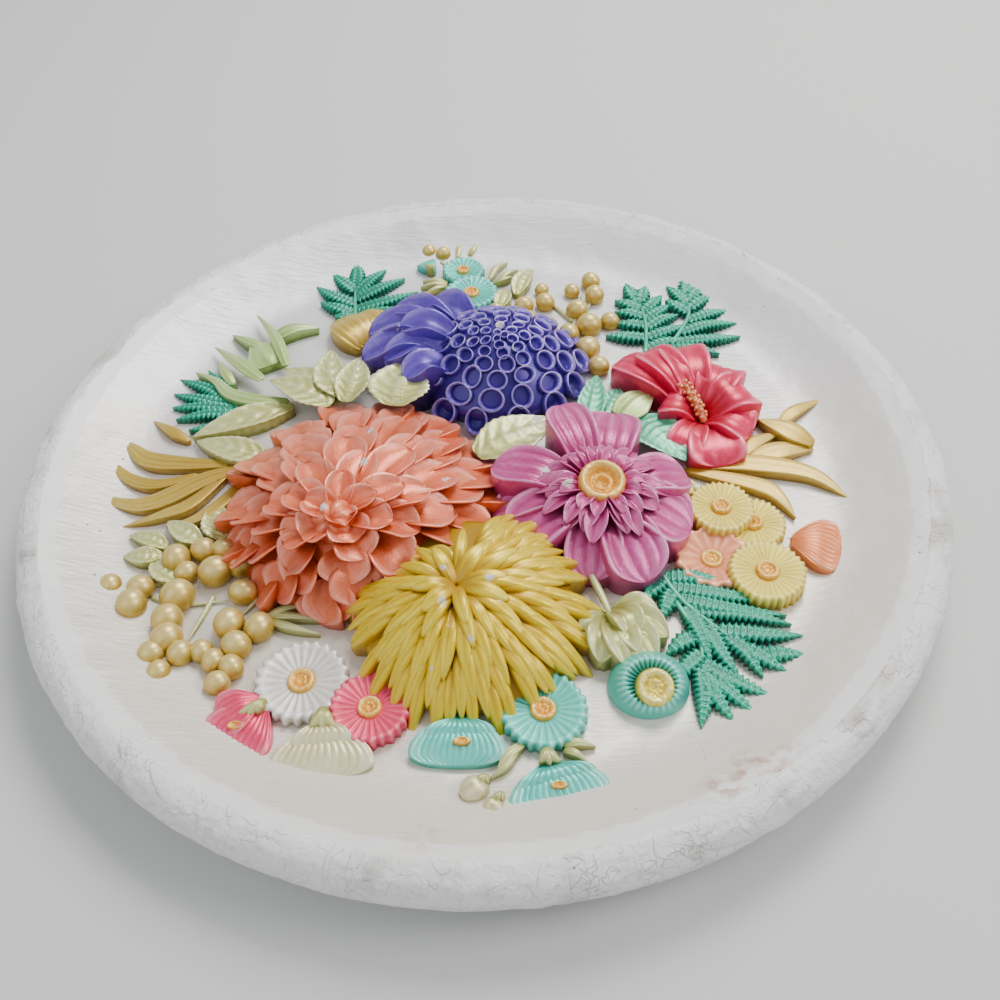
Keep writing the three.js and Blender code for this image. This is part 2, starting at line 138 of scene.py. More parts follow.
class Graph:
    """A material or group tree, with short calls for the nodes that the finishes share."""

    def __init__(self, tree: bpy.types.NodeTree) -> None:
        """Takes the tree that the nodes go into."""
        self.tree = tree

    def node(self, kind: str, inputs: dict[str | int, object] | None = None, **settings: object) -> bpy.types.Node:
        """Adds a node, sets its properties and its input values or links.

        Args:
            kind: Node type name.
            inputs: Input name or index to a value, or to the output socket to link from.
            settings: Properties of the node.

        Returns:
            The new node.
        """
        node = self.tree.nodes.new(kind)
        for name, value in settings.items():
            setattr(node, name, value)
        for key, value in (inputs or {}).items():
            if isinstance(value, bpy.types.NodeSocket):
                self.tree.links.new(value, node.inputs[key])
            else:
                node.inputs[key].default_value = value
        return node

    def math(self, operation: str, *values: object) -> bpy.types.NodeSocket:
        """Adds a math node on up to three values or sockets and returns its output."""
        node = self.node("ShaderNodeMath", dict(enumerate(values)), operation=operation)
        return node.outputs[0]

    def ramp(
        self, value: object, low: float, high: float, start: float = 0.0, end: float = 1.0,
    ) -> bpy.types.NodeSocket:
        """Adds a clamped smooth map from low..high to start..end and returns its output."""
        node = self.node(
            "ShaderNodeMapRange",
            {0: value, 1: low, 2: high, 3: start, 4: end},
            interpolation_type="SMOOTHSTEP",
        )
        return node.outputs[0]

    def mix(self, factor: object, a: object, b: object) -> bpy.types.NodeSocket:
        """Adds a colour mix and returns its output."""
        return self.node("ShaderNodeMix", {0: factor, 6: a, 7: b}, data_type="RGBA").outputs[2]

    def noise(
        self, vector: object, scale: float, detail: float = 2.0, distortion: float = 0.0,
    ) -> bpy.types.NodeSocket:
        """Adds a noise texture in object space and returns its value."""
        values = {"Vector": vector, "Scale": scale, "Detail": detail, "Distortion": distortion}
        return self.node("ShaderNodeTexNoise", values).outputs[0]

    def place(self) -> bpy.types.NodeSocket:
        """Returns the object coordinates, in metres."""
        return self.node("ShaderNodeTexCoord").outputs["Object"]

    def attribute(self, name: str) -> bpy.types.NodeSocket:
        """Returns one of the paint attributes on the mesh."""
        return self.node("ShaderNodeAttribute", attribute_name=name).outputs["Fac"]

    def dress(self, shader: bpy.types.Node, colour: object, bump: bpy.types.Node, rough: object = None) -> None:
        """Links the colour, the bump and, where it varies, the roughness to the shader."""
        self.tree.links.new(colour, shader.inputs["Base Color"])
        if rough is not None:
            self.tree.links.new(rough, shader.inputs["Roughness"])
        self.tree.links.new(bump.outputs[0], shader.inputs["Normal"])


class Effect(Enum):
    """The surface effects that several finishes share, each one node group."""

    BRUSHED = "brushed_paint"
    PLASTER = "worn_plaster"
    SPECKS = "dark_specks"


def rgba(colour: Rgb) -> tuple[float, float, float, float]:
    """Returns a colour with full opacity."""
    return (*colour, 1.0)


class EffectLibrary:
    """Builds the shared node groups once. They give out masks and heights, never a shader."""

    def __init__(self) -> None:
        """Builds every group."""
        self.groups = {
            Effect.BRUSHED: self.brushed(),
            Effect.PLASTER: self.plaster(),
            Effect.SPECKS: self.specks(),
        }

    @staticmethod
    def start(effect: Effect, outputs: Iterable[str]) -> tuple[bpy.types.NodeTree, Graph]:
        """Makes an empty group with float outputs of the given names."""
        tree = bpy.data.node_groups.new(effect.value, "ShaderNodeTree")
        for name in outputs:
            tree.interface.new_socket(name, in_out="OUTPUT", socket_type="NodeSocketFloat")
        return tree, Graph(tree)

    def brushed(self) -> bpy.types.NodeTree:
        """Paint dragged along a petal: lengthwise streaks, a mottle, and the lightness given on the mesh, which is
        partly the paint's own and partly painted shade in recesses and undersides and painted highlight on ridges and
        upper sides.
        """
        tree, graph = self.start(Effect.BRUSHED, ("Tone", "Height", "Chip"))
        place = graph.place()
        seed = graph.attribute("seed")
        across = graph.attribute("across")
        along = graph.attribute("along")
        drift = graph.math("MULTIPLY", graph.noise(place, 160.0), 0.9)
        lanes = graph.math("ADD", graph.math("ADD", across, drift), seed)
        grain = graph.node(
            "ShaderNodeCombineXYZ",
            {0: graph.math("MULTIPLY", lanes, 6.0), 1: graph.math("MULTIPLY", along, 1.3), 2: seed},
        )
        streaks = graph.noise(grain.outputs[0], 1.0, 3.0)
        mottle = graph.noise(place, 420.0, 3.0)
        wander = graph.math("ADD", graph.math("MULTIPLY", streaks, 0.42), graph.math("MULTIPLY", mottle, 0.16))
        tone = graph.math("ADD", graph.attribute("tone"), graph.math("SUBTRACT", wander, 0.29))
        fine = graph.noise(place, 1500.0, 2.0)
        height = graph.math("ADD", graph.math("MULTIPLY", streaks, 0.75), graph.math("MULTIPLY", fine, 0.25))
        fray = graph.math("MULTIPLY", graph.noise(place, 700.0, 3.0), 0.6)
        ragged = graph.math("ADD", graph.attribute("chip"), fray)
        chip = graph.ramp(ragged, 0.72, 0.86)
        graph.node("NodeGroupOutput", {"Tone": tone, "Height": height, "Chip": chip})
        return tree

    def plaster(self) -> bpy.types.NodeTree:
        """Bare plaster: cloudy stains, hairline cracks and a lumpy skin."""
        tree, graph = self.start(Effect.PLASTER, ("Stain", "Crack", "Height"))
        place = graph.place()
        cloud = graph.noise(place, 38.0, 6.0, 0.6)
        warped = graph.node("ShaderNodeTexNoise", {"Vector": place, "Scale": 60.0, "Detail": 3.0})
        shifted = graph.node(
            "ShaderNodeMix",
            {0: 0.035, 4: place, 5: warped.outputs["Color"]},
            data_type="VECTOR",
        ).outputs[1]
        cells = graph.node(
            "ShaderNodeTexVoronoi",
            {"Vector": shifted, "Scale": 120.0},
            feature="DISTANCE_TO_EDGE",
        ).outputs["Distance"]
        line = graph.ramp(cells, 0.0, 0.02, 0.45, 0.0)
        patchy = graph.ramp(graph.noise(place, 30.0, 2.0), 0.56, 0.68)
        crack = graph.math("MULTIPLY", line, patchy)
        lumps = graph.math("MULTIPLY", graph.noise(place, 300.0, 8.0, 0.8), 1.2)
        flakes = graph.ramp(graph.noise(place, 70.0, 5.0, 1.0), 0.53, 0.57, 0.0, 0.5)
        height = graph.math("SUBTRACT", graph.math("ADD", lumps, flakes), crack)
        graph.node("NodeGroupOutput", {"Stain": cloud, "Crack": crack, "Height": height})
        return tree

    def specks(self) -> bpy.types.NodeTree:
        """Small dark pits where air bubbles opened, scattered in drifts."""
        tree, graph = self.start(Effect.SPECKS, ("Mask",))
        place = graph.place()
        cells = graph.node("ShaderNodeTexVoronoi", {"Vector": place, "Scale": 240.0, "Randomness": 1.0})
        dot = graph.ramp(cells.outputs["Distance"], 0.05, 0.16, 1.0, 0.0)
        pick = graph.node("ShaderNodeSeparateColor", {0: cells.outputs["Color"]})
        chosen = graph.ramp(pick.outputs[0], 0.86, 0.9)
        drift = graph.ramp(graph.noise(place, 14.0, 2.0), 0.46, 0.62)
        mask = graph.math("MULTIPLY", graph.math("MULTIPLY", dot, chosen), drift)
        graph.node("NodeGroupOutput", {"Mask": mask})
        return tree

    def use(self, graph: Graph, effect: Effect) -> bpy.types.Node:
        """Adds a shared group to a material tree and returns its node."""
        node = graph.tree.nodes.new("ShaderNodeGroup")
        node.node_tree = self.groups[effect]
        return node


@dataclass(frozen=True)
class Finish:
    """What every finish has: a name, the record's slot it belongs to, and its gloss.

    Attributes:
        name: Name of the material.
        slot: Material slot of the record. Not used.
        roughness: Roughness of the painted surface.
        metallic: How much of the sheen takes the paint's own colour.
        coat: Weight of the clear gloss over the paint.
    """

    name: str
    slot: str
    roughness: float = 0.36
    metallic: float = 0.3
    coat: float = 0.18

    def start(self) -> tuple[bpy.types.Material, Graph, bpy.types.Node]:
        """Makes the material with its surface shader and sets the constant values on the shader."""
        material = bpy.data.materials.new(self.name)
        material.use_nodes = True
        graph = Graph(material.node_tree)
        shader = material.node_tree.nodes["Principled BSDF"]
        shader.inputs["Metallic"].default_value = self.metallic
        shader.inputs["Coat Weight"].default_value = self.coat
        shader.inputs["Coat Roughness"].default_value = 0.3
        return material, graph, shader

    def material(self, effects: EffectLibrary) -> bpy.types.Material:
        """Builds the material.

        Args:
            effects: The shared node groups.

        Returns:
            The finished material.
        """
        raise NotImplementedError


PLASTER_CHIP = linear(216, 212, 204)


@dataclass(frozen=True)
class PearlPaint(Finish):
    """Pearlescent paint on the relief: deep in the recesses and pale on the ridges and tips, partly the paint itself
    and partly painted shade and painted highlight.

    Attributes:
        deep: Colour in the recesses, partly painted shade.
        body: Colour of most of the paint.
        light: Colour on the ridges and tips, partly painted highlight.
        streak: Height of the lengthwise streaks, in millimetres.
    """

    deep: Rgb = (0.2, 0.2, 0.2)
    body: Rgb = (0.5, 0.5, 0.5)
    light: Rgb = (0.8, 0.8, 0.8)
    streak: float = 0.5

    def material(self, effects: EffectLibrary) -> bpy.types.Material:
        """Builds the paint from its streaks, its tone and its chips."""
        material, graph, shader = self.start()
        paint = effects.use(graph, Effect.BRUSHED)
        # The ramp turns the lightness into colour: deep in recesses and undersides as painted shade, light on ridges
        # and upper sides as painted highlight.
        ramp = graph.node("ShaderNodeValToRGB", {0: paint.outputs["Tone"]})
        stops = ramp.color_ramp.elements
        stops[0].position, stops[0].color = 0.12, rgba(self.deep)
        stops[1].position, stops[1].color = 1.0, rgba(self.light)
        middle = stops.new(0.52)
        middle.color = rgba(self.body)
        colour = graph.mix(paint.outputs["Chip"], ramp.outputs[0], rgba(PLASTER_CHIP))
        rough = graph.ramp(paint.outputs["Chip"], 0.0, 1.0, self.roughness, 0.8)
        bump = graph.node(
            "ShaderNodeBump",
            {"Strength": 0.55, "Distance": self.streak * MM, "Height": paint.outputs["Height"]},
        )
        graph.dress(shader, colour, bump, rough)
        return material


@dataclass(frozen=True)
class GroundPaint(Finish):
    """Pearl cream brushed over the inside of the dish, worn through to plaster at the rim.

    Attributes:
        cream: Colour nearest the foot of the plaque.
        sheen_silver: Cooler colour towards its top, a painted sheen.
        grime: Colour of the specks and of what lies in cracks.
        smoke: Colour of the smudges.
        rust: Colour of the rubbed places.
        plaster: Colour of the plaster where the paint is gone.
    """

    cream: Rgb = linear(226, 219, 207)
    sheen_silver: Rgb = linear(222, 222, 226)
    grime: Rgb = linear(120, 108, 96)
    smoke: Rgb = linear(158, 158, 166)
    rust: Rgb = linear(176, 120, 100)
    plaster: Rgb = linear(234, 233, 232)

    def material(self, effects: EffectLibrary) -> bpy.types.Material:
        """Builds the ground with its painted sheen, smudges, worn edge, specks and brush marks."""
        material, graph, shader = self.start()
        place = graph.place()
        plaster = effects.use(graph, Effect.PLASTER)
        specks = effects.use(graph, Effect.SPECKS)
        spot = graph.node("ShaderNodeSeparateXYZ", {0: place})
        # Painted sheen: the ground turns from cream to a cooler colour towards the top of the plaque, standing in for
        # a reflection there.
        climb = graph.ramp(spot.outputs[1], -0.12, 0.16)
        colour = graph.mix(climb, rgba(self.cream), rgba(self.sheen_silver))
        smudge = graph.ramp(graph.noise(place, 17.0, 5.0, 1.2), 0.52, 0.76, 0.0, 0.34)
        corner = graph.ramp(graph.math("SUBTRACT", spot.outputs[1], spot.outputs[0]), 0.0, 0.2, 0.25, 1.0)
        colour = graph.mix(graph.math("MULTIPLY", smudge, corner), colour, rgba(self.smoke))
        worn = graph.math("ADD", graph.attribute("wear"), graph.math("MULTIPLY", graph.noise(place, 160.0, 5.0), 0.5))
        bare = graph.ramp(worn, 0.62, 0.86)
        colour = graph.mix(bare, colour, rgba(self.plaster))
        colour = graph.mix(graph.math("MULTIPLY", plaster.outputs["Crack"], bare), colour, rgba(self.grime))
        scuff = graph.attribute("scuff")
        broken = graph.math("MULTIPLY", scuff, graph.ramp(graph.noise(place, 260.0, 4.0), 0.42, 0.66))
        colour = graph.mix(broken, colour, rgba(self.rust))
        colour = graph.mix(graph.math("MULTIPLY", specks.outputs["Mask"], 0.85), colour, rgba(self.grime))
        strokes = graph.node(
            "ShaderNodeMapping",
            {"Vector": place, "Rotation": (0.0, 0.0, math.radians(38.0)), "Scale": (90.0, 620.0, 200.0)},
        )
        brush = graph.noise(strokes.outputs[0], 1.0, 4.0, 0.4)
        lumps = graph.math("MULTIPLY", graph.noise(place, 60.0, 4.0), 2.4)
        sunk = graph.math("MULTIPLY", specks.outputs["Mask"], -2.0)
        height = graph.math("ADD", graph.math("ADD", brush, lumps), sunk)
        bump = graph.node("ShaderNodeBump", {"Strength": 0.5, "Distance": 0.45 * MM, "Height": height})
        rough = graph.ramp(bare, 0.0, 1.0, self.roughness, 0.5)
        graph.dress(shader, colour, bump, rough)
        return material


@dataclass(frozen=True)
class BarePlaster(Finish):
    """Rough unpainted plaster of the rolled rim and the back.

    Attributes:
        pale: Colour of most of it.
        shade: Colour of the stains.
        grime: Colour of what lies in cracks and pits.
    """

    pale: Rgb = linear(236, 235, 234)
    shade: Rgb = linear(196, 190, 184)
    grime: Rgb = linear(112, 104, 96)

    def material(self, effects: EffectLibrary) -> bpy.types.Material:
        """Builds the plaster with its stains, cracks, pits and specks."""
        material, graph, shader = self.start()
        plaster = effects.use(graph, Effect.PLASTER)
        specks = effects.use(graph, Effect.SPECKS)
        colour = graph.mix(graph.ramp(plaster.outputs["Stain"], 0.52, 0.72), rgba(self.pale), rgba(self.shade))
        colour = graph.mix(graph.math("MULTIPLY", plaster.outputs["Crack"], 0.7), colour, rgba(self.grime))
        colour = graph.mix(graph.math("MULTIPLY", graph.attribute("pit"), 0.8), colour, rgba(self.grime))
        colour = graph.mix(graph.math("MULTIPLY", specks.outputs["Mask"], 0.8), colour, rgba(self.grime))
        bump = graph.node(
            "ShaderNodeBump",
            {"Strength": 0.8, "Distance": 0.9 * MM, "Height": plaster.outputs["Height"]},
        )
        shader.inputs["Roughness"].default_value = self.roughness
        graph.dress(shader, colour, bump)
        return material


VIVID = 1.18


def pearl(name: str, slot: str, deep: Chart, body: Chart, light: Chart, **rest: float) -> PearlPaint:
    """Returns a pearl paint whose three colours are a little stronger than on the paint chart.

    Args:
        name: Name of its material.
        slot: The slot it fills.
        deep: Chart colour in the hollows, partly painted shade.
        body: Chart colour of most of it.
        light: Chart colour along the edges, partly painted highlight.
        rest: Other values of the finish.

    Returns:
        The finish.
    """
    deep_paint, body_paint, light_paint = (linear(*chart, strength=VIVID) for chart in (deep, body, light))
    return PearlPaint(name, slot, deep=deep_paint, body=body_paint, light=light_paint, **rest)


class Paint(Enum):
    """Every finish on the plaque."""

    GROUND = GroundPaint("pearl_ground_paint", "pearl_ground", 0.34, 0.12, 0.25)
    PLASTER = BarePlaster("bare_plaster", "plaster_rim", 0.5, 0.0, 0.15)
    CORAL = pearl("coral_pearl", "pearl_coral", (186, 84, 44), (226, 128, 100), (246, 184, 170))
    VIOLET = pearl("violet_pearl", "pearl_violet", (62, 44, 128), (104, 84, 172), (176, 164, 214), streak=0.3)
    YELLOW = pearl(
        "yellow_pearl", "pearl_yellow", (176, 140, 28), (222, 196, 74), (242, 230, 146), streak=0.35,
    )
    MAGENTA = pearl("magenta_pearl", "pearl_magenta", (150, 44, 96), (196, 98, 148), (232, 172, 202))
    RED = pearl("red_pearl", "pearl_red", (172, 30, 60), (222, 74, 104), (242, 150, 166), streak=0.25)
    ROSE = pearl("rose_pearl", "pearl_rose", (196, 54, 84), (226, 92, 118), (240, 160, 174), streak=0.3)
    WHITE = pearl("white_pearl", "pearl_white", (186, 180, 164), (228, 226, 220), (244, 244, 242), streak=0.3)
    TURQUOISE = pearl(
        "turquoise_pearl", "pearl_turquoise", (58, 158, 146), (106, 202, 188), (184, 232, 222), streak=0.3,
    )
    DAISY = pearl("lemon_pearl", "pearl_yellow", (196, 168, 60), (234, 216, 118), (246, 238, 182), streak=0.3)
    PEACH = pearl("peach_pearl", "pearl_peach", (206, 128, 92), (236, 164, 132), (248, 204, 178), streak=0.3)
    ORANGE = pearl("orange_pearl", "pearl_peach", (192, 108, 60), (226, 142, 100), (242, 184, 150), streak=0.3)
    GOLD = pearl(
        "gold_pearl", "pearl_gold", (156, 124, 44), (202, 176, 100), (236, 222, 172), streak=0.2, metallic=0.4,
    )
    BUTTON = pearl("amber_pearl", "pearl_gold", (206, 136, 48), (232, 178, 92), (246, 218, 152), streak=0.2)
    CREAM = pearl("cream_pearl", "pearl_leaf", (180, 170, 116), (222, 214, 176), (238, 234, 214), streak=0.3)
    LEAF = pearl("sage_pearl", "pearl_leaf", (140, 138, 66), (196, 196, 138), (226, 228, 196), streak=0.3)
    LILY = pearl("lily_pearl", "pearl_leaf", (122, 146, 74), (176, 198, 132), (214, 226, 182), streak=0.3)
    TEAL = pearl("teal_pearl", "pearl_teal", (20, 110, 88), (52, 156, 128), (134, 206, 178), streak=0.25)
    JADE = pearl("jade_pearl", "pearl_teal", (40, 128, 92), (92, 176, 140), (164, 218, 190), streak=0.25)


# ---------------------------------------------------------------------------------------- Shaping


class Path:
    """A smooth line through a few places, in millimetres, with a frame along it."""

    def __init__(self, places: Sequence[Place]) -> None:
        """Takes the places that the line runs through."""
        self.places = [Vector(place) for place in places]

    def at(self, share: float) -> Vector:
        """Returns the place at a share of the way along the line."""
        spans = len(self.places) - 1
        position = clamp(share) * spans
        span = min(int(position), spans - 1)
        t = position - span
        p1, p2 = self.places[span], self.places[span + 1]
        p0 = self.places[span - 1] if span > 0 else p1 * 2 - p2
        p3 = self.places[span + 2] if span + 2 <= spans else p2 * 2 - p1
        return 0.5 * (
            2 * p1
            + (p2 - p0) * t
            + (2 * p0 - 5 * p1 + 4 * p2 - p3) * t**2
            + (3 * p1 - p0 - 3 * p2 + p3) * t**3
        )

    def frame(self, share: float, roll: float = 0.0) -> tuple[Vector, Vector, Vector]:
        """Returns the place, the direction to the right and the direction away from the ground.

        Args:
            share: Share of the way along the line.
            roll: Turn about the line, in radians.

        Returns:
            The place, the unit vector to the right, and the unit vector up out of the surface.
        """
        step = 0.02
        forward = (self.at(share + step) - self.at(share - step)).normalized()
        side = forward.cross(Vector((0, 0, 1)))
        side = side.normalized() if side.length > 1e-4 else Vector((1, 0, 0))
        if roll:
            side.rotate(Matrix.Rotation(roll, 3, forward))
        return self.at(share), side, side.cross(forward).normalized()


@dataclass(frozen=True)
class Petal:
    """The form of a petal, leaf, finger or blade of grass, whatever line it lies along.

    Attributes:
        width: Full width at the widest place.
        root: Width at the root, as a share of the full width.
        widest: Share of the length at which it is widest.
        blunt: 0 for a long point, 1 for a round end.
        thick: Half its thickness in the middle.
        cup: How far the long edges rise over the middle.
        lip: Height of the rolled edge.
        curl: How far the end turns up.
        fold: Height of the midrib, below 0 for a groove.
        ridges: How many long ridges run side by side.
        ridge: Height of those ridges.
        teeth: Number of teeth down each edge.
        bite: Depth of the teeth, as a share of the width.
        veins: Number of side veins.
        vein: Height of the side veins.
        tone: Lightness of the paint at the root and at the end; the darker root is painted shade.
    """

    width: float
    root: float = 0.45
    widest: float = 0.6
    blunt: float = 0.4
    thick: float = 1.3
    cup: float = 0.0
    lip: float = 0.0
    curl: float = 0.0
    fold: float = 0.0
    ridges: int = 0
    ridge: float = 0.0
    teeth: int = 0
    bite: float = 0.0
    veins: int = 0
    vein: float = 0.0
    tone: tuple[float, float] = (0.2, 0.62)

    def half(self, share: float) -> float:
        """Returns half the width at a share of the length."""
        if share < self.widest:
            full = lerp(self.root, 1.0, math.sin(math.pi / 2 * share / self.widest))
        else:
            rest = (share - self.widest) / (1.0 - self.widest)
            full = max(0.0, 1.0 - rest ** lerp(1.5, 2.4, self.blunt)) ** lerp(1.0, 0.5, self.blunt)
        if self.teeth:
            step = (share * self.teeth) % 1.0
            depth = 1.0 - min(1.0, step * 1.6) if step < 0.62 else (step - 0.62) / 0.38
            full *= 1.0 - self.bite * depth
        return self.width / 2 * full

    def relief(self, share: float, across: float) -> tuple[float, float]:
        """Returns the height over the middle of the petal, and how far that lightens the paint: painted highlight on
        rolled edges, raised midribs, ridges and veins, and painted shade along a grooved midrib.
        """
        body = math.sin(math.pi * clamp(share)) ** 0.5
        edge = abs(across)
        height = self.cup * edge**2.2 * body + self.curl * smooth(0.6, 1.0, share)
        light = 0.0
        if self.lip:
            rolled = bell(edge - 0.9, 0.13) * body
            height += self.lip * rolled
            light += 0.3 * rolled
        if self.fold:
            crease = bell(across, 0.1) * body
            height += self.fold * crease
            light += (0.25 if self.fold > 0 else -0.22) * crease
        if self.ridges:
            wave = math.cos(math.pi * self.ridges * across * lerp(1.15, 0.95, share)) * body
            height += self.ridge * wave
            light += 0.13 * wave
        if self.veins:
            step = (share * self.veins - edge * 1.3) % 1.0
            line = bell(min(step, 1.0 - step), 0.16) * smooth(0.0, 0.15, edge) * (1.0 - edge**4)
            height += self.vein * line
            light += 0.22 * line
        return height, light


class Sculpt:
    """A piece being shaped: a mesh in millimetres whose corners carry the facts the paint needs."""

    FACTS = ("along", "across", "tone", "chip", "seed", "wear", "scuff", "pit")
    balls: ClassVar[dict[tuple[int, int], bpy.types.Mesh]] = {}

    def __init__(self, seed: int = 1) -> None:
        """Starts an empty mesh with the paint attributes."""
        self.mesh = bmesh.new()
        self.facts = {name: self.mesh.verts.layers.float.new(name) for name in self.FACTS}
        self.random = random.Random(seed)

    def ball(self, around: int, rings: int) -> list[BMVert]:
        """Adds a unit ball with its poles on Z and returns its corners. Each size of ball is made once."""
        if (around, rings) not in self.balls:
            single = bmesh.new()
            bmesh.ops.create_uvsphere(single, u_segments=around, v_segments=rings, radius=1.0)
            self.balls[around, rings] = bpy.data.meshes.new("ball")
            single.to_mesh(self.balls[around, rings])
            single.free()
        first = len(self.mesh.verts)
        self.mesh.from_mesh(self.balls[around, rings])
        self.mesh.verts.ensure_lookup_table()
        return self.mesh.verts[first:]

    def mark(self, vert: BMVert, **facts: float) -> None:
        """Sets paint facts on a corner."""
        for name, value in facts.items():
            vert[self.facts[name]] = value

    def petal(
        self, path: Path, form: Petal, around: int = 20, rings: int = 14, roll: float = 0.0, rooted: bool = False
    ) -> None:
        """Adds a closed petal along a line.

        Args:
            path: The line it lies along, from its root to its end.
            form: Its form.
            around: Corners in one section.
            rings: Sections along it.
            roll: Turn about the line, in radians.
            rooted: True to carry its underside straight down into the ground.
        """
        seed = self.random.random() * 10.0
        frames: dict[float, tuple[Vector, Vector, Vector]] = {}
        for vert in self.ball(around, rings):
            share, _ = polar(vert)
            radius = math.hypot(vert.co.x, vert.co.y)
            across, above = (vert.co.x / radius, vert.co.y / radius) if radius > 1e-5 else (0.0, 0.0)
            key = round(share, 4)
            if key not in frames:
                frames[key] = path.frame(share, roll)
            place, side, up = frames[key]
            height, light = form.relief(share, across)
            body = form.thick * (math.sin(math.pi * share) ** 0.6 if 0.0 < share < 1.0 else 0.0)
            rise = body * (abs(above) ** 0.8) * (1.0 if above > 0 else -1.4)
            vert.co = place + side * (form.half(share) * across) + up * (height + rise)
            if rooted and above < -0.05:
                vert.co.z = min(vert.co.z, ground_height(vert.co.xy.length) - 1.0)
            # Painted light: the paint lightens from the root to the end and on the relief's highlights, and the
            # underside is darkened to the deepest colour as painted shade.
            top = smooth(-0.5, 0.3, above)
            tone = (lerp(*form.tone, smooth(0.0, 0.85, share)) + light) * top
            self.mark(vert, along=share, across=across, tone=tone, seed=seed)

    def tube(
        self, path: Path, start: float, end: float, tone: float = 0.45, around: int = 8, rings: int = 16,
    ) -> None:
        """Adds a round stem along a line, from one radius to another."""
        form = Petal(width=2.0, root=1.0, widest=0.2, blunt=1.0)
        for vert in self.ball(around, rings):
            share = math.acos(clamp(vert.co.z, -1.0, 1.0)) / math.pi
            radius = math.hypot(vert.co.x, vert.co.y)
            across, above = (vert.co.x / radius, vert.co.y / radius) if radius > 1e-5 else (0.0, 0.0)
            place, side, up = path.frame(share)
            size = lerp(start, end, share) * (form.half(share) if share < 1.0 else 0.0)
            vert.co = place + (side * across + up * above) * size
            # Painted light: the upper side of the stem is lighter than its underside.
            self.mark(vert, along=share, across=across, tone=tone + 0.3 * above, seed=start)

    def chipped(self, chips: Iterable[Place]) -> None:
        """Knocks the paint off at places given as x, y and radius."""
        for x, y, radius in chips:
            near = [vert for vert in self.mesh.verts if math.hypot(vert.co.x - x, vert.co.y - y) < 2 * radius]
            top = max((vert.co.z for vert in near), default=0.0)
            for vert in near:
                spread = (vert.co - Vector((x, y, top))).length / radius
                self.mark(vert, chip=max(vert[self.facts["chip"]], 1.0 - 0.5 * spread))

    def finish(self, name: str, paint: Paint, workshop: "Workshop") -> bpy.types.Object:
        """Turns the mesh into a named piece of the plaque.

        Args:
            name: Name of the piece.
            paint: Its finish.
            workshop: Holds the materials.

        Returns:
            The new object, in metres at the origin.
        """
        for vert in self.mesh.verts:
            vert.co *= MM
        bmesh.ops.recalc_face_normals(self.mesh, faces=self.mesh.faces)
        for face in self.mesh.faces:
            face.smooth = True
        data = bpy.data.meshes.new(name)
        self.mesh.to_mesh(data)
        self.mesh.free()
        data.materials.append(workshop.material(paint))
        piece = bpy.data.objects.new(name, data)
        bpy.context.scene.collection.objects.link(piece)
        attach(piece, "root")
        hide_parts(NODE)
        log.info("%s: %d faces, %s", name, len(data.polygons), paint.value.name)
        return piece


class Workshop:
    """Keeps the effects and the materials, so that each is made once."""

    def __init__(self) -> None:
        """Builds the effects, and makes no material yet."""
        self.effects = EffectLibrary()
        self.made: dict[Paint, bpy.types.Material] = {}

    def material(self, paint: Paint) -> bpy.types.Material:
        """Returns the material of a finish, and makes it the first time."""
        if paint not in self.made:
            self.made[paint] = paint.value.material(self.effects)
        return self.made[paint]


# ---------------------------------------------------------------------------------------- The dish


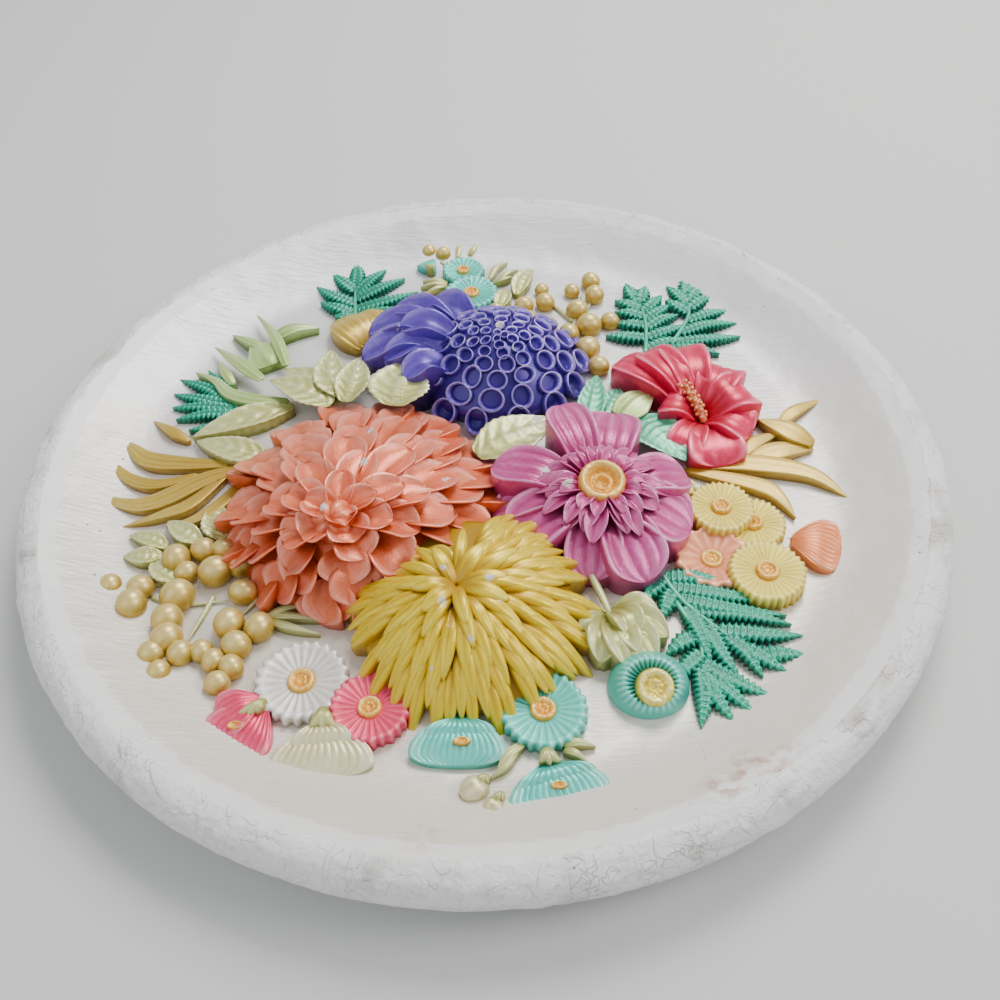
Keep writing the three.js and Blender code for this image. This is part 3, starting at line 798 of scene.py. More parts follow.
@dataclass(frozen=True)
class Dish:
    """The round plate: its painted inside and its bare rolled rim and back.

    Attributes:
        steps: Steps around the axis.
        ground_steps: Steps from the axis to where the paint ends.
        crest_steps: Steps from there to the crest.
        roll_steps: Steps around the roll of the rim.
        back_steps: Steps under the rim, and again across the back.
        roll_turn: Where the roll starts and ends, in degrees above level.
        foot: Radius and height at which the underside leaves the roll.
        pits: Larger pits in the rim, as x, y and radius.
        scuffs: Rubbed places on the ground, as x, y, radius and strength.
    """

    steps: int = 320
    ground_steps: int = 84
    crest_steps: int = 6
    roll_steps: int = 24
    back_steps: int = 12
    roll_turn: Flat = (90.0, -62.0)
    foot: Flat = (184.0, 10.6)
    pits: tuple[Place, ...] = ((120.0, -137.0, 2.2), (137.0, -124.0, 1.8), (150.0, -106.0, 1.2))
    scuffs: tuple[tuple[float, float, float, float], ...] = (
        (85.0, -153.0, 9.0, 0.8), (74.0, -157.0, 6.0, 0.7), (97.0, -147.0, 5.0, 0.5), (-20.0, -168.0, 7.0, 0.3),
    )

    def turn(self, sculpt: Sculpt, profile: Sequence[Flat]) -> None:
        """Turns a profile of radius and height once around the axis."""
        mesh = sculpt.mesh
        verts = [mesh.verts.new((radius, 0.0, height)) for radius, height in profile]
        edges = [mesh.edges.new(pair) for pair in zip(verts, verts[1:])]
        bmesh.ops.spin(
            mesh, geom=[*verts, *edges], cent=(0, 0, 0), axis=(0, 0, 1), angle=2 * math.pi, steps=self.steps,
            use_merge=True,
        )
        bmesh.ops.remove_doubles(mesh, verts=mesh.verts, dist=1e-4)

    @staticmethod
    def settle(vert: BMVert) -> None:
        """Moves a corner by the uneven surface of the casting, the same on both pieces where they meet."""
        spot = vert.co.copy()
        radius = spot.xy.length
        rim = smooth(GROUND_RADIUS + 20.0, CREST_RADIUS - 2.0, radius)
        back = smooth(UNDERCUT, 2.0, spot.z) if radius < CREST_RADIUS else 0.0
        calm = 1.0 - 0.95 * back
        slow = noise.noise(spot * 0.018)
        lumps = noise.fractal(spot * 0.075, 1.0, 2.0, 3)
        grit = noise.fractal(spot * 0.33, 0.8, 2.1, 4)
        outwards = Vector((spot.x, spot.y, 0.0)).normalized() if radius > 1.0 else Vector()
        swell = (0.5 * slow + 0.45 * lumps + 0.55 * grit - 0.4) * rim * calm
        vert.co += outwards * min(swell, 1.2)
        vert.co.z += (0.16 * lumps + rim * (0.35 * lumps + 0.5 * grit - 0.5)) * calm

    def inside(self) -> Sculpt:
        """Shapes the painted ground, out to where the paint wears off below the crest."""
        sculpt = Sculpt()
        reach = [PAINT_EDGE * (i / self.ground_steps) for i in range(self.ground_steps + 1)]
        self.turn(sculpt, [(radius, ground_height(radius)) for radius in reach])
        for vert in sculpt.mesh.verts:
            radius = vert.co.xy.length
            self.settle(vert)
            sculpt.mark(vert, wear=smooth(PAINT_EDGE - 12.0, PAINT_EDGE, radius))
            for x, y, size, strength in self.scuffs:
                spread = math.hypot(vert.co.x - x, vert.co.y - y) / size
                sculpt.mark(vert, scuff=max(vert[sculpt.facts["scuff"]], strength * smooth(1.6, 0.2, spread)))
        return sculpt

    def outside(self) -> Sculpt:
        """Shapes the crest, the roll, the foot that turns in under it, and the flat back."""
        sculpt = Sculpt()
        span = CREST_RADIUS - PAINT_EDGE
        crest = [PAINT_EDGE + span * i / self.crest_steps for i in range(self.crest_steps)]
        profile = [(radius, ground_height(radius)) for radius in crest]
        for i in range(self.roll_steps + 1):
            turn = math.radians(lerp(*self.roll_turn, i / self.roll_steps))
            rise = RIM_HEIGHT - ROLL_RADIUS + ROLL_RADIUS * math.sin(turn)
            profile.append((CREST_RADIUS + ROLL_RADIUS * math.cos(turn), rise))
        shares = [i / self.back_steps for i in range(1, self.back_steps + 1)]
        profile += [(lerp(self.foot[0], BACK_RADIUS, share), lerp(self.foot[1], 0.0, share)) for share in shares]
        profile += [(BACK_RADIUS * (1 - share), 0.0) for share in shares]
        self.turn(sculpt, profile)
        for vert in sculpt.mesh.verts:
            flat = vert.co.z < 1e-3
            if not flat:
                self.settle(vert)
            for x, y, size in self.pits:
                depth = smooth(1.3, 0.3, math.hypot(vert.co.x - x, vert.co.y - y) / size) if not flat else 0.0
                if depth:
                    vert.co.z -= 0.9 * depth
                    sculpt.mark(vert, pit=depth)
        return sculpt

    def build(self, workshop: Workshop) -> None:
        """Makes both pieces."""
        self.inside().finish("dish_ground", Paint.GROUND, workshop)
        self.outside().finish("dish_rim_and_back", Paint.PLASTER, workshop)


# ---------------------------------------------------------------------------------------- Flower heads


@dataclass(frozen=True)
class Head:
    """A domed flower head, whose petals run from its eye to a round edge that need not be centred on it.

    Attributes:
        eye: Where the petals come from.
        centre: Centre of the round edge.
        radius: Radius of the edge.
        edge: Height of the edge.
        tilt: How much higher the far side of the edge is than its middle.
        swell: Roundness of the dome.
    """

    eye: Place
    centre: Flat
    radius: float
    edge: float
    tilt: float = 0.0
    swell: float = 1.7

    def at(self, rho: float, angle: float, lift: float = 0.0) -> Vector:
        """Returns the place at share rho from the eye to the edge, in the direction of angle."""
        x = self.centre[0] + self.radius * math.cos(angle)
        y = self.centre[1] + self.radius * math.sin(angle)
        edge = self.edge + self.tilt * math.sin(angle)
        height = self.eye[2] - (self.eye[2] - edge) * max(rho, 0.0) ** self.swell
        return Vector((lerp(self.eye[0], x, rho), lerp(self.eye[1], y, rho), height + lift))

    def outward(self, rho: float, angle: float) -> Vector:
        """Returns the direction out of the dome."""
        along = self.at(rho + 0.05, angle) - self.at(max(rho - 0.05, 0.0), angle)
        around = self.at(max(rho, 0.1), angle + 0.05) - self.at(max(rho, 0.1), angle - 0.05)
        return along.cross(around).normalized()

    def heart(self, name: str, paint: Paint, workshop: Workshop, sink: float, reach: float = 0.97) -> None:
        """Makes the dome that the petals grow from, down to the ground, in the deepest colour as painted shade between
        the petals.

        Args:
            name: Name of the piece.
            paint: Its finish.
            workshop: Holds the materials.
            sink: How far it lies below the petals' feet.
            reach: Its share of the head's radius.
        """
        sculpt = Sculpt()
        for vert in sculpt.ball(56, 32):
            share, angle = polar(vert)
            if share < 0.6:
                vert.co = self.at(reach * share / 0.6, angle, -sink)
            else:
                vert.co = self.at(reach * (1.0 - share) / 0.4, angle)
                vert.co.z = GROUND - 1.0
            # Painted shade: the whole dome takes the deepest colour.
            sculpt.mark(vert, along=share, tone=0.02)
        sculpt.finish(name, paint, workshop)


@dataclass(frozen=True)
class Tier:
    """One ring of petals on a head.

    Attributes:
        count: Petals in the ring.
        inner: Where their roots are, as a share of the way to the edge.
        outer: Where their ends are.
        form: Their form.
        phase: Turn of the ring, in petals.
        lift: Height of the middle and of the end over the dome.
        span: First and last direction of the ring, in degrees.
    """

    count: int
    inner: float
    outer: float
    form: Petal
    phase: float = 0.0
    lift: tuple[float, float] = (1.5, 1.5)
    span: tuple[float, float] = (0.0, 360.0)

    def grow(self, sculpt: Sculpt, head: Head, spread: float = 1.0, rooted: bool = False) -> None:
        """Adds the ring of petals to a head.

        Args:
            sculpt: The piece being shaped.
            head: The dome they lie on.
            spread: How much they differ from one another.
            rooted: True to carry their undersides down to the ground.
        """
        start, end = (math.radians(angle) for angle in self.span)
        for k in range(self.count):
            jitter = [sculpt.random.uniform(-spread, spread) for _ in range(5)]
            angle = lerp(start, end, (k + self.phase + 0.16 * jitter[0]) / self.count)
            outer = self.outer * (1.0 + 0.045 * jitter[1])
            middle = lerp(self.inner, outer, 0.5)
            path = Path([
                head.at(self.inner, angle, -1.5),
                head.at(middle, angle + 0.03 * jitter[2], self.lift[0]),
                head.at(outer, angle + 0.05 * jitter[2], self.lift[1] + 0.5 * jitter[3]),
            ])
            form = replace(self.form, width=self.form.width * (1.0 + 0.09 * jitter[4]))
            sculpt.petal(path, form, roll=0.12 * jitter[3], rooted=rooted)


@dataclass(frozen=True)
class CoralDahlia:
    """Coral dahlia: broad spoon-shaped petals around a closed bud low on its near left.

    Attributes:
        head: The mound it grows on.
        chips: Places where the paint is gone, as x, y and radius.
    """

    head: Head = Head(eye=(-54.0, -53.0, 43.0), centre=(-49.0, -26.0), radius=56.0, edge=18.0, tilt=2.0)
    chips: tuple[Place, ...] = (
        (-71.0, -21.0, 2.0), (-46.0, 0.0, 2.2), (-43.0, -12.0, 2.4), (-46.0, -26.0, 2.2), (-14.0, -27.0, 3.2),
        (-20.0, -40.0, 2.0), (-38.0, -52.0, 1.6), (-35.0, -66.0, 2.2), (-56.0, -42.0, 1.8), (-59.0, -52.0, 1.8),
        (-8.0, 1.0, 2.4), (-12.0, -13.0, 2.2),
    )

    def tiers(self) -> list[Tier]:
        """Returns the rings of petals, from the bud outwards."""
        spoon = Petal(
            width=15.0, root=0.35, widest=0.6, blunt=0.42, thick=1.1, cup=4.2, lip=0.9, curl=1.2, fold=-0.5,
            tone=(0.12, 0.56),
        )
        flat = replace(spoon, width=18.0, cup=2.4, curl=0.0, fold=-0.4, lip=0.8, blunt=0.3, tone=(0.15, 0.6))
        return [
            Tier(4, 0.0, 0.25, replace(spoon, width=12.5, cup=4.6), 0.1, (1.5, 4.2)),
            Tier(7, 0.08, 0.42, replace(spoon, width=16.0), 0.4, (1.5, 3.6)),
            Tier(8, 0.2, 0.57, replace(spoon, width=18.5), 0.15, (1.5, 3.0)),
            Tier(10, 0.34, 0.72, replace(flat, width=20.0, cup=3.2), 0.5, (1.2, 2.3)),
            Tier(12, 0.48, 0.86, replace(flat, width=21.0), 0.1, (1.0, 1.6)),
            Tier(13, 0.62, 1.0, replace(flat, width=21.0), 0.45, (0.8, 0.9)),
            Tier(14, 0.76, 1.07, replace(flat, width=19.0), 0.95, (0.2, 0.2)),
        ]

    def bud(self, sculpt: Sculpt) -> None:
        """Adds the closed bud, wrapped in a slow spiral of folded petals."""
        middle = Vector((-55.0, -54.0, 41.5))
        lean = Matrix.Rotation(math.radians(28.0), 3, Vector((1.0, -0.2, 0.0)))
        for vert in sculpt.ball(48, 24):
            share, angle = polar(vert)
            wrap = abs(math.sin(3.5 * angle + 2.2 * share))
            size = 8.8 - 1.2 * (1.0 - wrap) * smooth(0.02, 0.2, share)
            top = 1.0 - 0.22 * bell(share, 0.1)
            vert.co = middle + lean @ (vert.co * Vector((1.0, 1.0, 0.82)) * size * top)
            # Painted light: the raised folds of the wrap are lighter, and the dimple at its top is darkened as painted
            # shade.
            sculpt.mark(vert, along=share, across=wrap, tone=0.3 + 0.32 * wrap - 0.5 * bell(share, 0.08))

    def build(self, workshop: Workshop) -> None:
        """Makes the petals and the heart."""
        petals = Sculpt(seed=11)
        tiers = self.tiers()
        for tier in tiers:
            tier.grow(petals, self.head, rooted=tier is tiers[-1])
        self.bud(petals)
        petals.chipped(self.chips)
        petals.finish("coral_dahlia_petals", Paint.CORAL, workshop)
        self.head.heart("coral_dahlia_heart", Paint.CORAL, workshop, 1.5)


@dataclass(frozen=True)
class VioletDahlia:
    """Violet ball dahlia: hollow quilled florets that shrink towards the eye, and loose petals on the left.

    Attributes:
        head: The mound it grows on.
        lip: Share of a floret's skin that is its outer wall.
        hollow: Radius inside the mouth, as a share of its own.
        rings: Rings of florets, as distance from the eye, count and mouth radius.
        chips: Places where the paint is gone, as x, y and radius.
    """

    head: Head = Head(eye=(9.0, 50.0, 42.0), centre=(7.0, 57.0), radius=38.0, edge=20.0, swell=2.0)
    lip: float = 0.58
    hollow: float = 0.74
    rings: tuple[tuple[float, int, float], ...] = (
        (0.06, 3, 2.0), (0.17, 6, 2.5), (0.3, 9, 3.0), (0.45, 11, 3.8), (0.62, 12, 4.7), (0.81, 13, 5.5),
        (1.0, 14, 6.0),
    )
    chips: tuple[Place, ...] = (
        (9.0, 59.0, 2.4), (2.0, 61.0, 1.8), (15.0, 43.0, 2.2), (20.0, 36.0, 2.2), (-15.0, 24.0, 2.8),
        (-31.0, 54.0, 3.0), (-37.0, 64.0, 2.6), (-20.0, 52.0, 3.0), (-5.0, 50.0, 1.6),
    )

    def floret(self, sculpt: Sculpt, place: Vector, axis: Vector, mouth: float, reach: float) -> None:
        """Adds one hollow floret.

        Args:
            sculpt: The piece being shaped.
            place: Middle of its foot.
            axis: The way it opens.
            mouth: Radius of its mouth.
            reach: Length of its wall.
        """
        side = axis.cross(Vector((0.0, 0.0, 1.0)))
        side = side.normalized() if side.length > 1e-3 else Vector((1.0, 0.0, 0.0))
        back = side.cross(axis).normalized()
        pinch = 1.0 + 0.14 * sculpt.random.uniform(-1.0, 1.0)
        seed = sculpt.random.random() * 10.0
        for vert in sculpt.ball(18, 14):
            share, angle = polar(vert)
            if share < self.lip:
                t = share / self.lip
                size = mouth * lerp(0.55, 1.0, math.sin(math.pi * 0.66 * t)) if t > 0.02 else 0.0
                height = reach * t
                # Painted light: the outer wall darkens towards its foot as painted shade, and the lip of the mouth
                # carries a painted highlight.
                tone = lerp(0.1, 0.5, t) + 0.45 * bell(t - 1.0, 0.14)
            else:
                t = (share - self.lip) / (1.0 - self.lip)
                size = mouth * self.hollow * math.cos(math.pi / 2 * t) ** 0.6 if t < 0.99 else 0.0
                height = reach * lerp(1.0, 0.35, t**0.6)
                # Painted shade: the hollow inside the mouth darkens to the deepest colour.
                tone = lerp(0.62, -0.1, min(1.0, 2.0 * t))
            hood = -0.18 * mouth * math.sin(angle) * smooth(0.2, 0.6, share)
            spread = side * (math.cos(angle) * pinch) + back * (math.sin(angle) * (2.0 - pinch))
            vert.co = place + spread * size + axis * (height + hood)
            sculpt.mark(vert, along=share, across=math.cos(angle), tone=tone, seed=seed)

    def build(self, workshop: Workshop) -> None:
        """Makes the florets, the loose petals and the heart."""
        florets = Sculpt(seed=23)
        for ring, (rho, count, mouth) in enumerate(self.rings):
            for k in range(count):
                wobble = florets.random.uniform(-0.5, 0.5)
                angle = 2 * math.pi * (k + 0.5 * (ring % 2) + 0.22 * wobble) / count
                size = mouth * (1.0 + 0.12 * wobble)
                outward = self.head.outward(rho, angle)
                radial = (self.head.at(rho + 0.1, angle) - self.head.at(rho, angle)).normalized()
                axis = (outward + 0.2 * radial + Vector((0.0, -0.15, 0.1))).normalized()
                foot = self.head.at(rho, angle) - axis * size * 1.1
                self.floret(florets, foot, axis, size, size * 1.55)
        florets.chipped(self.chips)
        florets.finish("violet_dahlia_florets", Paint.VIOLET, workshop)
        loose = Sculpt(seed=5)
        scoop = Petal(
            width=16.0, root=0.5, widest=0.62, blunt=0.6, thick=1.6, cup=3.4, lip=1.0, curl=1.5, fold=-0.8,
            tone=(0.15, 0.55),
        )
        lines = (
            ([(-16, 60, 29), (-36, 62, 32), (-54, 58, 23)], 17.0),
            ([(-14, 66, 30), (-34, 74, 33), (-52, 76, 24)], 17.0),
            ([(-12, 70, 30), (-28, 83, 32), (-42, 93, 23)], 19.0),
            ([(-4, 74, 30), (-14, 88, 31), (-24, 98, 23)], 18.0),
            ([(-14, 54, 30), (-29, 55, 34), (-43, 51, 28)], 15.0),
            ([(-14, 44, 28), (-24, 42, 34), (-33, 36, 30)], 14.0),
            ([(-10, 62, 32), (-24, 66, 37), (-36, 66, 33)], 15.0),
        )
        for places, width in lines:
            loose.petal(Path(places), replace(scoop, width=width), rooted=True)
        loose.chipped(self.chips)
        loose.finish("violet_dahlia_loose_petals", Paint.VIOLET, workshop)
        self.head.heart("violet_dahlia_heart", Paint.VIOLET, workshop, 1.0)


@dataclass(frozen=True)
class SpiderMum:
    """Yellow spider chrysanthemum: slim fingers that hang over the near side of a mound.

    Attributes:
        head: The mound it grows on.
        chips: Places where the paint is gone, as x, y and radius.
    """

    head: Head = Head(eye=(-10.0, -82.0, 38.0), centre=(-6.0, -84.0), radius=44.0, edge=21.0, tilt=7.0)
    chips: tuple[Place, ...] = (
        (-15.0, -78.0, 1.8), (-14.0, -92.0, 2.2), (-13.0, -99.0, 2.2), (2.0, -83.0, 1.8), (6.0, -92.0, 1.6),
        (14.0, -99.0, 1.4), (-5.0, -105.0, 1.6), (3.0, -113.0, 1.8), (-19.0, -113.0, 2.0), (-11.0, -124.0, 2.4),
        (-38.0, -106.0, 1.4),
    )

    def tiers(self) -> list[Tier]:
        """Returns the rings of fingers, from the eye outwards."""
        finger = Petal(width=5.6, root=0.7, widest=0.5, blunt=0.35, thick=2.2, fold=-0.3, tone=(0.08, 0.62))
        span = (165.0, 435.0)
        return [
            Tier(7, 0.0, 0.42, replace(finger, width=6.4, blunt=0.6), 0.4, (3.0, 5.0)),
            Tier(12, 0.06, 0.58, finger, 0.1, (3.0, 4.2)),
            Tier(16, 0.16, 0.72, finger, 0.5, (2.6, 3.2), span),
            Tier(19, 0.28, 0.86, finger, 0.2, (2.4, 2.4), span),
            Tier(23, 0.42, 0.98, finger, 0.6, (2.0, 1.4), span),
            Tier(26, 0.56, 1.08, replace(finger, width=5.4), 0.3, (1.4, 0.0), span),
        ]

    def build(self, workshop: Workshop) -> None:
        """Makes the fingers, the two broad petals behind the eye, and the heart."""
        fingers = Sculpt(seed=31)
        tiers = self.tiers()
        for tier in tiers:
            tier.grow(fingers, self.head, spread=1.5, rooted=tier is tiers[-1])
        broad = Petal(width=15.0, root=0.5, widest=0.55, blunt=0.5, cup=2.2, lip=0.6, tone=(0.1, 0.55))
        fingers.petal(Path([(-12, -80, 34), (-18, -71, 36), (-24, -61, 30)]), broad, rooted=True)
        fingers.petal(Path([(-16, -84, 34), (-27, -78, 34), (-38, -74, 27)]), replace(broad, width=11.0), rooted=True)
        fingers.chipped(self.chips)
        fingers.finish("chrysanthemum_fingers", Paint.YELLOW, workshop)
        self.head.heart("chrysanthemum_heart", Paint.YELLOW, workshop, 1.5, 0.9)


FACE = 0.62


def granular(sculpt: Sculpt, centre: Place, size: Flat, height: float, lean: float = 0.0, grain: float = 0.5) -> None:
    """Adds the raised eye of a flower: a beaded outer ring around a sunken beaded middle.

    Args:
        sculpt: The piece being shaped.
        centre: Middle of its foot.
        size: Half its width and half its depth.
        height: Height of the ring.
        lean: Tip towards the foot of the plaque, in degrees.
        grain: Height of the beads.
    """
    tip = Matrix.Rotation(math.radians(lean), 3, "X")
    for vert in sculpt.ball(56, 40):
        share, angle = polar(vert)
        radius = min(1.0, share / FACE) if share < FACE else 1.0 - 0.08 * (share - FACE)
        rise = 0.72 + 0.28 * bell(radius - 0.72, 0.2) - 0.16 * bell(radius, 0.3) + 0.12 * bell(radius - 0.28, 0.07)
        rise *= 1.0 - smooth(0.86, 1.0, radius) * 0.55 if share < FACE else 0.0
        spot = Vector((radius * math.cos(angle) * size[0], radius * math.sin(angle) * size[1], 0.0))
        bead = noise.noise(spot * 1.25 + Vector(centre)) if share < 0.6 else 0.0
        spot.z = rise * height + grain * bead
        vert.co = Vector(centre) + tip @ spot
        # Painted light: the beads and the crest of the ring are lighter, and the trough inside the ring and the edge
        # are darker as painted shade.
        tone = 0.46 + 0.4 * bead + 0.3 * bell(radius - 0.72, 0.16) - 0.3 * bell(radius - 0.45, 0.08)
        sculpt.mark(vert, along=radius, tone=tone * (1.0 - smooth(0.9, 1.0, radius)), seed=centre[0])


@dataclass(frozen=True)
class MagentaDahlia:
    """Magenta anemone dahlia: nine broad ridged petals, a collar of small ones and a raised beaded eye.

    Attributes:
        eye: Middle of its eye.
        broad: End and width of each broad petal.
        chips: Places where the paint is gone, as x, y and radius.
    """

    eye: Place = (46.0, -34.0, 31.0)
    broad: tuple[tuple[Place, float], ...] = (
        ((33, 12, 35), 19), ((56, 10, 31), 25), ((83, -22, 25), 22), ((81, -48, 22), 28), ((61, -72, 21), 25),
        ((40, -69, 19), 23), ((10, -50, 22), 28), ((3, -33, 19), 19), ((4, -14, 27), 22),
    )
    chips: tuple[Place, ...] = ((26.0, -24.0, 2.4), (33.0, -36.0, 2.2))

    def build(self, workshop: Workshop) -> None:
        """Makes the petals, the collar and the eye."""
        petals = Sculpt(seed=41)
        form = Petal(
            width=24.0, root=0.42, widest=0.6, blunt=0.55, thick=1.6, cup=1.6, lip=0.9, ridges=4, ridge=0.55,
            tone=(0.16, 0.56),
        )
        x0, y0, _ = self.eye
        for (x, y, z), width in self.broad:
            shares = (0.15, 0.5, 0.8, 1.0)
            heights = (27.0, lerp(31.0, z, 0.45) + 3.0, lerp(31.0, z, 0.8) + 2.0, z)
            places = [(lerp(x0, x, share), lerp(y0, y, share), height) for share, height in zip(shares, heights)]
            petals.petal(Path(places), replace(form, width=float(width)), around=40, rings=24, rooted=True)
        petals.chipped(self.chips)
        petals.finish("magenta_dahlia_petals", Paint.MAGENTA, workshop)
        collar = Sculpt(seed=43)
        dome = Head(eye=(x0, y0, 37.0), centre=(x0, y0), radius=26.0, edge=30.0)
        small = Petal(
            width=8.5, root=0.5, widest=0.55, blunt=0.3, thick=1.1, cup=2.0, lip=0.6, fold=-0.5, tone=(0.1, 0.6),
        )
        for tier in (
            Tier(13, 0.35, 1.02, small, 0.2, (1.0, 0.2)),
            Tier(12, 0.3, 0.86, replace(small, width=7.5), 0.6, (1.6, 1.8)),
            Tier(11, 0.3, 0.68, replace(small, width=6.5), 0.1, (2.0, 3.0)),
        ):
            tier.grow(collar, dome, spread=1.8)
        collar.chipped(self.chips)
        collar.finish("magenta_dahlia_collar", Paint.MAGENTA, workshop)
        button = Sculpt()
        granular(button, (x0 + 0.5, y0 + 0.5, 29.0), (10.4, 11.0), 11.0, 8.0)
        button.finish("magenta_dahlia_eye", Paint.BUTTON, workshop)


@dataclass(frozen=True)
class RedFlower:
    """Red open flower: broad satin petals around a leaning beaded column.

    Attributes:
        throat: Where the petals meet.
        broad: End and width of each broad petal.
    """

    throat: Flat = (96.0, 18.0)
    broad: tuple[tuple[Place, float], ...] = (
        ((62, 53, 23), 17), ((75, 56, 26), 18), ((90, 58, 26), 22), ((110, 45, 24), 22), ((118, 28, 24), 24),
        ((115, 6, 21), 20), ((99, -11, 19), 25), ((84, -3, 19), 17), ((79, 25, 22), 20),
    )

    def build(self, workshop: Workshop) -> None:
        """Makes the petals and the column."""
        petals = Sculpt(seed=51)
        form = Petal(
            width=20.0, root=0.3, widest=0.68, blunt=0.8, thick=1.6, cup=1.4, lip=0.5, fold=-0.9, ridges=2, ridge=0.3,
            tone=(0.12, 0.54),
        )
        x0, y0 = self.throat
        for (x, y, z), width in self.broad:
            places = [
                (lerp(x0, x, 0.06), lerp(y0, y, 0.06), 17.0),
                (lerp(x0, x, 0.45), lerp(y0, y, 0.45), z + 2.5),
                (lerp(x0, x, 0.8), lerp(y0, y, 0.8), z + 2.5),
                (x, y, z - 1.0),
            ]
            petals.petal(Path(places), replace(form, width=float(width)), around=36, rings=22, rooted=True)
        petals.finish("red_flower_petals", Paint.RED, workshop)
        column = Sculpt(seed=53)
        stem = Path([(97, 15, 18), (93, 21, 26), (88, 29, 30)])
        column.tube(stem, 1.6, 1.8)
        for k in range(34):
            share = lerp(0.15, 1.0, k / 33)
            place, side, up = stem.frame(share)
            turn = 2.4 * k
            spot = place + (side * math.cos(turn) + up * math.sin(turn)) * 2.0
            for vert in column.ball(8, 6):
                vert.co = spot + vert.co * 0.9
                # Painted light: the upper half of each bead is lighter.
                column.mark(vert, tone=0.4 + 0.4 * (vert.co.z > spot.z), seed=float(k))
        column.finish("red_flower_column", Paint.ORANGE, workshop)


# ---------------------------------------------------------------------------------------- Small flowers


@dataclass(frozen=True)
class Daisy:
    """An open daisy seen from above.

    Attributes:
        centre: Its middle.
        radius: Radius over the petals.
        top: Height of its edge.
        rays: Number of petals.
        dip: How far it dips towards the eye.
        notch: Depth of the gaps at the edge.
    """

    centre: Flat
    radius: float
    top: float
    rays: int = 26
    dip: float = 1.8
    notch: float = 0.035

    def petals(self, sculpt: Sculpt) -> None:
        """Adds the ring of petals."""
        x0, y0 = self.centre
        seed = sculpt.random.random() * 10.0
        wander = [sculpt.random.uniform(-1.0, 1.0) for _ in range(self.rays)]
        for vert in sculpt.ball(self.rays * 6, 22):
            share, angle = polar(vert)
            angle %= 2 * math.pi
            ray = angle / (2 * math.pi) * self.rays
            wave = math.cos(2 * math.pi * ray)
            length = 1.0 + 0.03 * wander[int(ray + 0.5) % self.rays]
            upper = share < 0.7
            rho = min(1.0, share / 0.66) if upper else 1.0 - 0.1 * (share - 0.7)
            reach = self.radius * rho * (1.0 + (self.notch * wave + length - 1.0) * rho**3)
            rim = bell(rho - 0.93, 0.1)
            crest = 0.24 * wave * smooth(0.25, 0.5, rho)
            height = self.top - self.dip * (1.0 - rho) ** 1.2 + crest + 0.35 * rim - 1.6 * smooth(0.95, 1.0, rho)
            floor = ground_height(math.hypot(x0, y0)) - 1.0
            vert.co = Vector((x0 + reach * math.cos(angle), y0 + reach * math.sin(angle), height if upper else floor))
            # Painted light: the crest of each petal and the raised edge are lighter, and the petals darken near the
            # eye and on the underside as painted shade.
            tone = 0.44 + 0.16 * wave * smooth(0.25, 0.5, rho) + 0.16 * rim - 0.3 * smooth(0.4, 0.28, rho)
            sculpt.mark(vert, along=rho, across=wave, tone=tone if upper else 0.1, seed=seed + round(ray))

    def eye(self, sculpt: Sculpt, share: float = 0.33) -> None:
        """Adds its raised eye."""
        size = self.radius * share
        granular(sculpt, (*self.centre, self.top - self.dip - 0.8), (size, size), 3.0, 0.0, 0.28)


@dataclass(frozen=True)
class Fan:
    """A flower seen from the side: a fan of fused petals that spreads from its foot.

    Attributes:
        foot: Where the petals come from.
        end: Middle of the far edge.
        width: Width of the fan.
        ribs: Number of ribs.
        height: Height of its middle.
    """

    foot: Flat
    end: Flat
    width: float
    ribs: int = 9
    height: float = 18.5

    def add(self, sculpt: Sculpt) -> None:
        """Adds the fan."""
        form = Petal(
            width=self.width, root=0.12, widest=0.74, blunt=0.9, thick=1.0, ridges=self.ribs + 2, ridge=0.25, lip=0.5,
            teeth=0, tone=(0.22, 0.55),
        )
        (x0, y0), (x1, y1) = self.foot, self.end
        middle = (lerp(x0, x1, 0.5), lerp(y0, y1, 0.5), self.height)
        path = Path([(x0, y0, self.height - 1.5), middle, (x1, y1, self.height - 2.0)])
        sculpt.petal(path, form, around=12 * self.ribs, rings=22, rooted=True)


